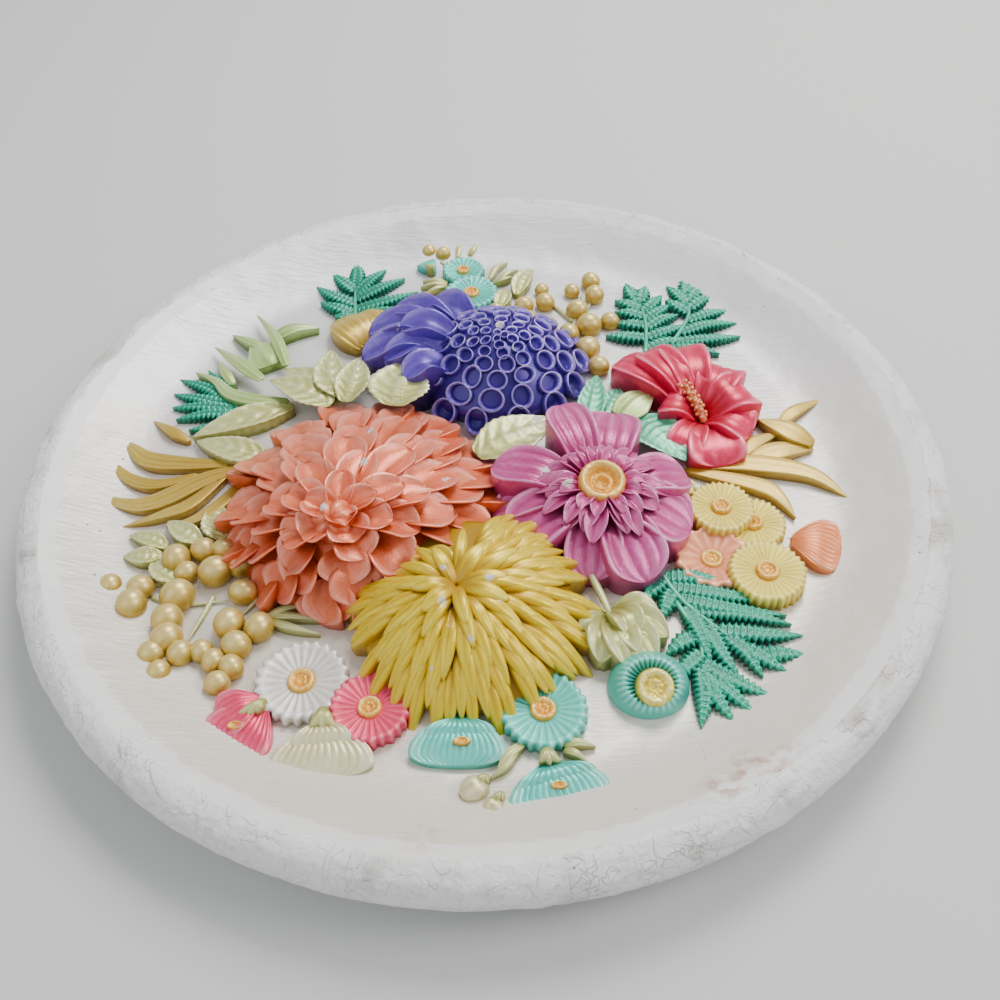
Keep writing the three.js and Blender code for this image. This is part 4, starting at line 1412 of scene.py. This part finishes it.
@dataclass(frozen=True)
class SmallFlowers:
    """The round and half-open flowers around the foot and the right of the bouquet.

    Attributes:
        white: The white daisies.
        rose: The rose daisies.
        turquoise: The turquoise daisies.
        lemon: The lemon daisies.
        peach: The peach daisies.
    """

    white: tuple[Daisy, ...] = (Daisy((-66.0, -107.0), 16.3, 18.5, 24, notch=0.05),)
    rose: tuple[Daisy, ...] = (Daisy((-41.0, -119.0), 14.0, 19.0, 26),)
    turquoise: tuple[Daisy, ...] = (
        Daisy((19.0, -122.0), 15.0, 18.8, 26),
        Daisy((-8.0, 134.0), 10.5, 19.0, 20),
        Daisy((-4.0, 115.0), 13.0, 19.0, 24),
    )
    lemon: tuple[Daisy, ...] = (
        Daisy((107.0, -41.0), 13.0, 17.5, 30, 1.0),
        Daisy((95.0, -35.0), 13.2, 21.0, 30, 1.2),
        Daisy((107.0, -67.5), 14.5, 20.5, 32, 1.2),
    )
    peach: tuple[Daisy, ...] = (Daisy((88.0, -58.0), 14.5, 18.5, 15, 3.4, 0.06),)

    def fans(self) -> dict[Paint, tuple[Fan, ...]]:
        """Returns the flowers seen from the side, by finish."""
        return {
            Paint.ROSE: (
                Fan((-78.0, -116.0), (-89.0, -133.0), 27.0, 9, 18.5),
                Fan((-79.0, -114.0), (-93.0, -122.0), 18.0, 6, 19.5),
            ),
            Paint.CREAM: (
                Fan((-57.0, -124.0), (-56.0, -145.0), 36.0, 11, 18.0),
                Fan((-57.0, -124.0), (-56.0, -134.0), 20.0, 6, 19.5),
            ),
            Paint.TURQUOISE: (
                Fan((-10.0, -122.0), (-11.0, -142.0), 33.0, 13, 18.2),
                Fan((-10.0, -124.0), (-10.0, -133.0), 25.0, 9, 19.2),
                Fan((20.0, -141.0), (23.5, -158.0), 34.0, 13, 18.4),
                Fan((20.0, -143.0), (22.0, -150.5), 28.0, 9, 19.4),
                Fan((-23.0, 135.0), (-29.0, 145.0), 10.0, 4, 18.0),
            ),
            Paint.ORANGE: (Fan((120.0, -50.0), (139.0, -56.0), 26.0, 9, 18.0),),
        }

    def anemone(self, workshop: Workshop) -> None:
        """Makes the turquoise ball flower, which faces the foot of the plaque."""
        pot = Sculpt(seed=71)
        centre = Vector((56.5, -113.0, 15.0))
        for vert in pot.ball(120, 48):
            share, angle = polar(vert)
            ray = math.cos(30.0 * angle)
            body = vert.co * Vector((14.5, 12.5, 12.0))
            face = smooth(0.34, 0.26, share)
            body.z = min(body.z, 9.4 + 0.7 * ray * face - 2.0 * smooth(0.24, 0.1, share))
            rim = bell(share - 0.25, 0.05)
            body.z += 0.8 * rim
            vert.co = centre + Matrix.Rotation(math.radians(22.0), 3, "X") @ body
            if share > 0.55:
                vert.co.z = min(vert.co.z, GROUND - 1.0)
            # Painted light: the ray crests and the rim are lighter, and the middle of the face is darker as painted
            # shade.
            tone = 0.4 + 0.3 * ray * face + 0.25 * rim - 0.25 * smooth(0.2, 0.1, share)
            pot.mark(vert, along=share, across=ray, tone=tone, seed=3.0)
        pot.finish("turquoise_ball_flower", Paint.TURQUOISE, workshop)
        eye = Sculpt()
        granular(eye, (57.5, -117.5, 21.5), (7.0, 7.0), 4.0, 22.0, 0.4)
        eye.finish("turquoise_ball_flower_eye", Paint.DAISY, workshop)

    def tulip(self, workshop: Workshop) -> None:
        """Makes the half-open pale green flower."""
        sepals = Sculpt(seed=73)
        form = Petal(
            width=14.0, root=0.4, widest=0.5, blunt=0.3, thick=1.0, cup=1.6, lip=0.9, ridges=3, ridge=0.3,
            tone=(0.2, 0.55),
        )
        ends = ((35, -97, 19), (64, -84, 19), (40, -106, 21), (66, -95, 20), (60, -106, 21), (50, -109, 22))
        for x, y, z in ends:
            path = Path([(46, -85, 18), (lerp(46, x, 0.55), lerp(-85, y, 0.55), z + 2.5), (x, y, z - 1.0)])
            sepals.petal(path, form, around=32, rings=20, rooted=True)
        front = Path([(46, -82, 19), (51, -90, 25), (53, -99, 22)])
        sepals.petal(front, replace(form, width=12.0), around=32, rooted=True)
        sepals.tube(Path([(40, -66, 20), (43, -76, 20), (46, -86, 20)]), 1.5, 1.9)
        sepals.finish("green_half_open_flower", Paint.LEAF, workshop)

    def calyxes(self, workshop: Workshop) -> None:
        """Makes the green cups behind the flowers seen from the side, and the small buds."""
        greens = Sculpt(seed=75)
        cups = (
            ((-77, -115, 19.5), (-83, -122, 20), 9.0), ((-56.5, -119, 20), (-56.5, -128, 20), 11.0),
            ((19, -137, 19), (20, -144, 20), 9.0), ((-1, -146, 19), (-3, -150, 19.5), 6.0),
            ((4, -152, 18.5), (2, -156, 19), 5.0), ((-24, 134, 18.5), (-26, 138, 19), 5.0),
        )
        for start, end, width in cups:
            for turn in (-0.5, 0.0, 0.5):
                middle = [lerp(a, b, 0.5) for a, b in zip(start, end)]
                tip = (end[0] + turn * width * 0.8, end[1] + abs(turn) * 2.0, end[2] - 0.5)
                path = Path([start, (middle[0] + turn * 2.0, middle[1], middle[2] + 0.8), tip])
                form = Petal(width=width * 0.4, root=0.4, widest=0.5, blunt=0.3, thick=1.2, fold=0.3, tone=(0.2, 0.5))
                greens.petal(path, form, rooted=True)
        greens.finish("flower_cups", Paint.LEAF, workshop)
        buds = Sculpt(seed=77)
        bud = Petal(width=8.5, root=0.6, widest=0.5, blunt=0.9, thick=2.6, fold=-0.3, tone=(0.3, 0.55))
        buds.petal(Path([(-1, -148, 18), (-5, -150.5, 19), (-10, -152, 18)]), bud, rooted=True)
        buds.petal(Path([(3, -154, 17.5), (1, -157, 18), (-1, -160, 17)]), replace(bud, width=7.0), rooted=True)
        buds.finish("cream_buds", Paint.CREAM, workshop)
        gold = Sculpt(seed=79)
        gold.petal(Path([(62, 52, 20), (65, 46, 23), (68, 39, 22)]), replace(bud, width=10.0), rooted=True)
        for places, form, around in (
            ([(-52, 76, 17), (-60, 86, 21), (-69, 99, 17)], replace(bud, width=22.0, ridges=6, ridge=0.5), 40),
            ([(-44, 82, 17), (-52, 94, 19), (-58, 104, 17)], replace(bud, width=15.0, ridges=4, ridge=0.4), 32),
        ):
            gold.petal(Path(places), form, around=around, rooted=True)
        gold.finish("gold_buds", Paint.GOLD, workshop)

    def build(self, workshop: Workshop) -> None:
        """Makes every small flower, one piece for each colour."""
        eyes = Sculpt()
        fans = self.fans()
        for name, paint, daisies in (
            ("white_daisy", Paint.WHITE, self.white),
            ("rose_flowers", Paint.ROSE, self.rose),
            ("turquoise_flowers", Paint.TURQUOISE, self.turquoise),
            ("lemon_daisies", Paint.DAISY, self.lemon),
            ("peach_flower", Paint.PEACH, self.peach),
        ):
            sculpt = Sculpt(seed=61)
            for daisy in daisies:
                daisy.petals(sculpt)
                daisy.eye(eyes)
            for fan in fans.pop(paint, ()):
                fan.add(sculpt)
            sculpt.finish(name, paint, workshop)
        for paint, left in fans.items():
            sculpt = Sculpt(seed=63)
            for fan in left:
                fan.add(sculpt)
            sculpt.finish(f"{paint.name.lower()}_fan_flower", paint, workshop)
        spots = ((-86, -125, 19.5, 3.4, 1.6), (-9, -134, 19.6, 3.2, 1.6), (22.5, -151, 19.8, 3.0, 1.3))
        for x, y, z, wide, deep in spots:
            granular(eyes, (x, y, z - 1.0), (wide, deep), 1.8, 0.0, 0.2)
        eyes.finish("daisy_eyes", Paint.BUTTON, workshop)
        self.anemone(workshop)
        self.tulip(workshop)
        self.calyxes(workshop)


# ---------------------------------------------------------------------------------------- Foliage


@dataclass(frozen=True)
class Blade:
    """A leaf or a strand that lies over the ground.

    Attributes:
        places: Flat places along its middle.
        width: Full width.
        height: Height of its middle.
    """

    places: tuple[Flat, ...]
    width: float
    height: float = 17.5

    def path(self, droop: float) -> Path:
        """Returns its line, with the end lowered by droop."""
        last = len(self.places) - 1
        drops = {0: 0.8, last: droop}
        return Path([(x, y, self.height - drops.get(i, 0.0)) for i, (x, y) in enumerate(self.places)])


@dataclass(frozen=True)
class Foliage:
    """Leaves, grass and the green lily.

    Attributes:
        pale: Sage leaves.
        jade: Jade leaves.
        lily: The green lily.
        gold: The gold grass.
        sprigs: Thin sprigs and stalks.
    """

    pale: tuple[Blade, ...] = (
        Blade(((-84, 36), (-106, 27), (-127, 18)), 15, 19),
        Blade(((-91, 4), (-108, 9), (-125, 16)), 15, 18.5),
        Blade(((-66, 30), (-80, 40), (-96, 48)), 18, 24),
        Blade(((-64, 32), (-74, 47), (-91, 58)), 16, 22),
        Blade(((-61, 34), (-68, 48), (-69, 67)), 17, 25),
        Blade(((-60, 29), (-57, 44), (-56, 59)), 17, 26),
        Blade(((-38, 20), (-35, 34), (-28, 51)), 29, 31),
        Blade(((-3, -6), (14, 4), (33, 14)), 25, 26),
        Blade(((-113, -41), (-121, -36), (-129, -29)), 10),
        Blade(((-104, -40), (-108, -31), (-111, -20)), 14),
        Blade(((-126, -43), (-134, -39), (-143, -36)), 8),
        Blade(((-127, -47), (-135, -48), (-143, -47)), 9),
        Blade(((-119, -60), (-126, -55), (-130, -48)), 10),
        Blade(((78, -16), (83, -24), (82, -33)), 10, 18),
        Blade(((18.5, 113), (22, 125), (28, 135)), 10),
        Blade(((9, 102), (12, 111), (13, 119)), 9),
    )
    jade: tuple[Blade, ...] = (
        Blade(((44.5, 10), (49, 28), (52.5, 45)), 13, 23),
        Blade(((50, 14), (57, 26), (62, 39)), 16, 20),
        Blade(((66, 18), (76, 6), (85, -9)), 22, 21),
    )
    lily: tuple[Blade, ...] = (
        Blade(((60, 18), (69, 27), (77, 32)), 16, 22),
        Blade(((-98, 64), (-102, 72), (-110, 82)), 20, 19),
        Blade(((-100, 84), (-90, 90), (-78, 91)), 8, 19),
        Blade(((-90, 61), (-98, 82), (-110, 102)), 6, 20.5),
        Blade(((-101, 76), (-110, 81), (-120, 88)), 5, 19),
        Blade(((-100, 52), (-113, 64), (-127, 78)), 7, 20.5),
        Blade(((-114, 52), (-119, 60), (-124, 70)), 5, 18.5),
        Blade(((-86, 38), (-101, 39), (-114, 44), (-122, 53), (-133, 61)), 7, 19.5),
    )
    gold: tuple[Blade, ...] = (
        Blade(((-128, 17), (-137, 23), (-147, 31)), 5),
        Blade(((-107, 2), (-130, 3), (-144, 6), (-152, 13), (-163, 23)), 9),
        Blade(((-120, -3), (-136, -9), (-148, -6), (-158, 3), (-167, 15)), 6),
        Blade(((-100, 1), (-117, -7), (-136, -19), (-150, -19), (-173, -8)), 9),
        Blade(((-106, 0), (-120, -20), (-131, -26), (-147, -31)), 6),
        Blade(((-99, -4), (-108, -21), (-117, -29), (-129, -32)), 6),
        Blade(((86, -8), (112, -9), (136, -16), (149, -30)), 10),
        Blade(((84, -10), (112, -21), (120, -28), (125, -39)), 8),
        Blade(((103, -8), (114, 2), (130, 10)), 8),
        Blade(((109, -8), (126, -2), (141, -1)), 10),
        Blade(((141, 0), (131, 9), (120, 17)), 11, 19),
        Blade(((129, 14), (138, 22), (153, 30)), 6),
    )
    sprigs: tuple[Blade, ...] = (
        Blade(((5, 127), (9, 136), (15, 142)), 3.2), Blade(((9, 126), (15, 131), (20.5, 135)), 2.8),
        Blade(((7, 124), (13, 126), (18, 129)), 2.6), Blade(((-11, 147), (-10, 156), (-9, 164)), 3.4),
        Blade(((-5, 149), (-2, 154), (0, 160)), 3.0), Blade(((-16, 125), (-22, 127), (-29, 128)), 2.6),
        Blade(((-16, 124), (-23, 124), (-30, 123)), 2.6), Blade(((-16, 123), (-22, 120), (-28, 117)), 2.6),
        Blade(((-82, -78), (-72, -79), (-60, -81)), 3.2), Blade(((-82, -80), (-72, -84), (-61, -87)), 3.2),
        Blade(((-84, -79), (-74, -75), (-64, -74)), 2.8), Blade(((12, -134), (6, -139), (2, -145)), 3.4),
        Blade(((25, -135), (30, -135), (36, -136)), 3.2), Blade(((25, -137), (29, -139), (33, -142)), 2.8),
        Blade(((10, -136), (5, -143), (-1, -147)), 2.4),
    )

    def build(self, workshop: Workshop) -> None:
        """Makes the leaves, the lily, the grass and the sprigs."""
        leaf = Petal(
            width=15.0, root=0.3, widest=0.42, blunt=0.1, thick=0.7, cup=1.2, lip=0.4, fold=0.8, veins=6, vein=0.6,
            teeth=11, bite=0.07, tone=(0.3, 0.52),
        )
        spike = Petal(width=6.0, root=0.6, widest=0.35, blunt=0.03, thick=1.0, fold=0.6, lip=0.3, tone=(0.3, 0.6))
        strand = Petal(
            width=6.0, root=0.35, widest=0.42, blunt=0.02, thick=1.0, fold=-0.5, lip=0.5, ridges=1, ridge=0.2,
            tone=(0.25, 0.55),
        )
        for name, paint, blades, form, chips in (
            ("pale_leaves", Paint.LEAF, self.pale, leaf, ((29.0, 9.0, 3.4), (24.0, 13.0, 2.2))),
            ("jade_leaves", Paint.JADE, self.jade, replace(leaf, veins=8, vein=0.4, teeth=12, bite=0.05), ()),
            ("green_lily", Paint.LILY, self.lily, spike, ()),
            ("gold_grass", Paint.GOLD, self.gold, strand, ()),
            ("sprigs", Paint.LEAF, self.sprigs, replace(spike, fold=0.3), ()),
        ):
            sculpt = Sculpt(seed=81)
            for blade in blades:
                broad = blade.width > 12
                shape = replace(form, width=float(blade.width))
                around, rings = (32, 56) if broad else (20, 30)
                sculpt.petal(blade.path(1.2), shape, around=around, rings=rings, rooted=blade.height < 20)
            sculpt.chipped(chips)
            sculpt.finish(name, paint, workshop)


@dataclass(frozen=True)
class Frond:
    """A fern frond: its stem, and the share of the way up the stem and the end of every leaflet.

    Attributes:
        stem: Flat places along the stem.
        leaflets: For each, its share of the way up the stem and its end.
    """

    stem: tuple[Flat, ...]
    leaflets: tuple[Place, ...]


@dataclass(frozen=True)
class Ferns:
    """The fern fronds at the top, the left and the lower right.

    Attributes:
        fronds: The fronds.
    """

    fronds: tuple[Frond, ...] = (
        Frond(
            ((-61, 96), (-62, 108), (-63, 124)),
            (
                (1, -65, 147), (0.92, -76, 137), (0.6, -83, 126), (0.3, -80, 113), (0.1, -72, 102), (0.85, -48, 139),
                (0.7, -38, 131), (0.45, -31, 119), (0.2, -33, 104),
            ),
        ),
        Frond(
            ((77, 62), (80, 86), (79, 106)),
            (
                (0.95, 74, 120), (0.93, 84, 117), (0.8, 67, 106), (0.66, 66, 97), (0.5, 66, 88), (0.3, 60, 79),
                (0.75, 91, 109), (0.6, 94, 101), (0.45, 97, 93), (0.3, 99, 85), (0.12, 98, 74),
            ),
        ),
        Frond(
            ((89, 68), (101, 90), (103, 104)),
            (
                (1, 104, 130), (0.95, 112, 118), (0.9, 94, 116), (0.75, 117, 107), (0.65, 92, 105), (0.45, 122, 95),
                (0.25, 124, 85), (0.1, 124, 75), (0, 112, 63),
            ),
        ),
        Frond(
            ((66, -62), (75, -80), (96, -103)),
            (
                (0.12, 92, -70), (0.25, 109, -80), (0.4, 111, -86), (0.55, 112, -90), (0.75, 115, -95),
                (1, 114, -103), (0.9, 106, -110), (0.8, 97, -112), (0.65, 89, -112), (0.5, 80, -106), (0.3, 64, -86),
                (0.15, 58, -78),
            ),
        ),
        Frond(
            ((70, -76), (77, -95), (76, -108)),
            (
                (0.95, 72, -131), (1, 84, -130), (0.95, 92, -127), (0.88, 99, -120), (0.7, 63, -112), (0.45, 64, -101),
            ),
        ),
        Frond(
            ((-103, 28), (-108, 34), (-112, 40)),
            ((1, -140, 58), (0.9, -141, 48), (0.75, -140, 39), (0.4, -137, 31), (0.1, -130, 24), (1, -128, 64)),
        ),
    )

    def build(self, workshop: Workshop) -> None:
        """Makes the leaflets and the stems."""
        sculpt = Sculpt(seed=91)
        for frond in self.fronds:
            stem = Path([(x, y, 17.0) for x, y in frond.stem])
            sculpt.tube(stem, 1.2, 0.9)
            for share, x, y in frond.leaflets:
                root = stem.at(share)
                reach = math.hypot(x - root.x, y - root.y)
                bend = Vector((root.y - y, x - root.x, 0.0)) * 0.07 * sculpt.random.uniform(-1.0, 1.0)
                middle = (root + Vector((x, y, 17.2))) / 2 + bend
                teeth = max(6, round(reach / 2.3))
                form = Petal(
                    width=9.0, root=0.75, widest=0.3, blunt=0.15, thick=1.0, fold=-0.5, teeth=teeth, bite=0.5,
                    veins=teeth, vein=0.55, tone=(0.24, 0.48),
                )
                path = Path([(root.x, root.y, 17.0), (middle.x, middle.y, 17.6), (x, y, 16.6)])
                sculpt.petal(path, form, around=16, rings=8 * teeth, rooted=True)
        sculpt.finish("fern_fronds", Paint.TEAL, workshop)


@dataclass(frozen=True)
class Berries:
    """The two clusters of gold berries: x, y and radius of each, and their stalks.

    Attributes:
        left: Berries of the left cluster.
        top: Berries of the top cluster.
        stalks: Flat places along each stalk.
    """

    left: tuple[Place, ...] = (
        (-144.5, -61, 4.6), (-132.5, -63, 5.2), (-134, -71, 6), (-117, -68, 6.6), (-119, -78.5, 6), (-117.5, -87, 6),
        (-130.5, -92.5, 3.4), (-122, -93, 5), (-118, -101, 4.6), (-111.5, -93.5, 5), (-104, -92.5, 4.4),
        (-99, -97, 4.6), (-96, -106.5, 4.7), (-92, -100, 4.8), (-91.5, -91, 5.6), (-95.5, -81.5, 6),
        (-84, -83.5, 5.7), (-92.5, -67, 5.4), (-121, -49.5, 5.8), (-111, -45.5, 5.2), (-103, -45.5, 4.8),
        (-116, -56, 4.6), (-104.5, -57, 6.4), (-95, -53.5, 5.6),
    )
    top: tuple[Place, ...] = (
        (56.5, 122, 4.8), (46.5, 115, 4), (57.5, 110.5, 5), (31.5, 117, 3.7), (32.5, 106, 4.8), (22, 104, 4.7),
        (48, 98.5, 5.4), (52.5, 86, 6), (24, 92, 5), (33, 88, 4.7), (42.5, 81, 5), (50.5, 68.5, 6), (63, 89.5, 4.6),
        (54.5, 56.5, 5), (8, 101.5, 4), (17, 97.5, 4.5), (-27, 110, 4.7), (-18, 108, 4.8), (-27.5, 102, 5),
        (-26, 153.5, 4), (-18.5, 151, 4),
    )
    stalks: tuple[tuple[Flat, ...], ...] = (
        ((-129, -66), (-115, -70), (-98, -69)), ((-84, -62), (-88, -70), (-93, -77)),
        ((-104, -66), (-107, -76), (-111, -88)), ((-118, -60), (-126, -60), (-140, -61)),
        ((40, 70), (46, 92), (52, 116)), ((46, 92), (38, 104), (32, 115)), ((47, 96), (54, 104), (57, 118)),
        ((-22, 131), (-18, 128), (-15, 125)), ((-20, 146), (-18, 144), (-16, 141)),
    )

    def build(self, workshop: Workshop) -> None:
        """Makes the berries and their stalks."""
        sculpt = Sculpt(seed=101)
        for x, y, radius in (*self.left, *self.top):
            turn = Matrix.Rotation(sculpt.random.uniform(0.0, math.pi), 3, "Z")
            stretch = Vector((1.06, 0.96, 1.0)) * radius
            seed = sculpt.random.random() * 10.0
            for vert in sculpt.ball(28, 20):
                pole = bell(vert.co.x - 1.0, 0.3)
                spot = vert.co.copy()
                vert.co = Vector((x, y, GROUND + 0.62 * radius)) + turn @ (spot * stretch * (1.0 - 0.04 * pole))
                # Painted light: each berry is lighter on its top and at its tip.
                tone = 0.3 + 0.42 * smooth(-0.1, 1.0, spot.z) + 0.2 * pole
                sculpt.mark(vert, along=(spot.x + 1) / 2, across=spot.y, tone=tone, seed=seed)
        sculpt.finish("berries", Paint.GOLD, workshop)
        stalks = Sculpt(seed=103)
        for line in self.stalks:
            stalks.tube(Path([(x, y, GROUND + 1.0) for x, y in line]), 1.2, 0.8)
        stalks.finish("berry_stalks", Paint.LEAF, workshop)


# ---------------------------------------------------------------------------------------- Studio


@dataclass(frozen=True)
class Lamp:
    """A soft square light.

    Attributes:
        name: Its name.
        place: Where it is, in metres.
        size: Its side, in metres.
        power: Its power in watts.
        colour: Its colour.
    """

    name: str
    place: Place
    size: float
    power: float
    colour: Rgb = (1.0, 1.0, 1.0)

    def build(self) -> None:
        """Adds the light, aimed at the plaque."""
        data = bpy.data.lights.new(self.name, "AREA")
        data.shape = "SQUARE"
        data.size = self.size
        data.energy = self.power
        data.color = self.colour
        lamp = bpy.data.objects.new(self.name, data)
        lamp.location = self.place
        lamp.rotation_euler = (-Vector(self.place)).to_track_quat("-Z", "Y").to_euler()
        bpy.context.scene.collection.objects.link(lamp)


@dataclass(frozen=True)
class Studio:
    """Floor, lights, sky and camera.

    Attributes:
        eye: Where the camera is, in millimetres.
        pitch: How far it looks down, in degrees.
        roll: How far it is turned about its own axis, in degrees.
        lens: Focal length, in millimetres.
        sensor: Width of the sensor, in millimetres.
        floor_colour: Colour of the floor.
        floor_side: Half the side of the floor, in metres.
        floor_gap: How far the floor lies under the plaque, in metres.
        sky_colour: Colour of the sky.
        sky_strength: Strength of the sky.
        lamps: The lights.
    """

    eye: Place = (6.65, -297.05, 322.87)
    pitch: float = 48.271
    roll: float = -2.038
    lens: float = 36.0
    sensor: float = 36.0
    floor_colour: Rgb = (0.62, 0.62, 0.61)
    floor_side: float = 4.0
    floor_gap: float = 0.0005
    sky_colour: Rgb = (0.93, 0.96, 1.0)
    sky_strength: float = 0.55
    lamps: tuple[Lamp, ...] = (
        Lamp("key_light", (0.35, 0.75, 1.15), 0.6, 19.0, (1.0, 0.98, 0.95)),
        Lamp("side_light", (1.0, -0.1, 0.9), 0.5, 8.0, (1.0, 0.98, 0.96)),
        Lamp("fill_light", (-0.8, -0.6, 1.0), 1.2, 5.0, (0.95, 0.97, 1.0)),
    )

    def floor(self) -> None:
        """Adds the plain pale floor."""
        mesh = bmesh.new()
        bmesh.ops.create_grid(mesh, x_segments=2, y_segments=2, size=self.floor_side)
        data = bpy.data.meshes.new("floor")
        mesh.to_mesh(data)
        mesh.free()
        material = bpy.data.materials.new("floor_paint")
        material.use_nodes = True
        shader = material.node_tree.nodes["Principled BSDF"]
        shader.inputs["Base Color"].default_value = rgba(self.floor_colour)
        shader.inputs["Roughness"].default_value = 0.7
        data.materials.append(material)
        floor = bpy.data.objects.new("floor", data)
        floor.location.z = -self.floor_gap
        bpy.context.scene.collection.objects.link(floor)

    def camera(self) -> None:
        """Adds the camera."""
        data = bpy.data.cameras.new("camera")
        data.lens = self.lens
        data.sensor_width = self.sensor
        pitch, roll = math.radians(self.pitch), math.radians(self.roll)
        right, up = Vector((1, 0, 0)), Vector((0, math.sin(pitch), math.cos(pitch)))
        turned_right = right * math.cos(roll) + up * math.sin(roll)
        turned_up = up * math.cos(roll) - right * math.sin(roll)
        back = turned_right.cross(turned_up)
        matrix = Matrix((turned_right, turned_up, back)).transposed().to_4x4()
        matrix.translation = Vector(self.eye) * MM
        camera = bpy.data.objects.new("camera", data)
        camera.matrix_world = matrix
        bpy.context.scene.collection.objects.link(camera)
        bpy.context.scene.camera = camera

    def sky(self) -> None:
        """Adds an even pale sky."""
        world = bpy.data.worlds.new("sky")
        world.use_nodes = True
        background = world.node_tree.nodes["Background"]
        background.inputs["Color"].default_value = rgba(self.sky_colour)
        background.inputs["Strength"].default_value = self.sky_strength
        bpy.context.scene.world = world

    def build(self) -> None:
        """Makes the whole studio."""
        self.floor()
        self.sky()
        self.camera()
        for lamp in self.lamps:
            lamp.build()


def main() -> None:
    """Builds the plaque and the studio around it."""
    logging.basicConfig(level=logging.INFO, format="%(name)s: %(message)s")
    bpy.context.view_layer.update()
    workshop = Workshop()
    Studio().build()
    for part in (
        Dish(), CoralDahlia(), VioletDahlia(), SpiderMum(), MagentaDahlia(), RedFlower(), SmallFlowers(), Foliage(),
        Ferns(), Berries(),
    ):
        part.build(workshop)


if __name__ == "__main__":
    main()
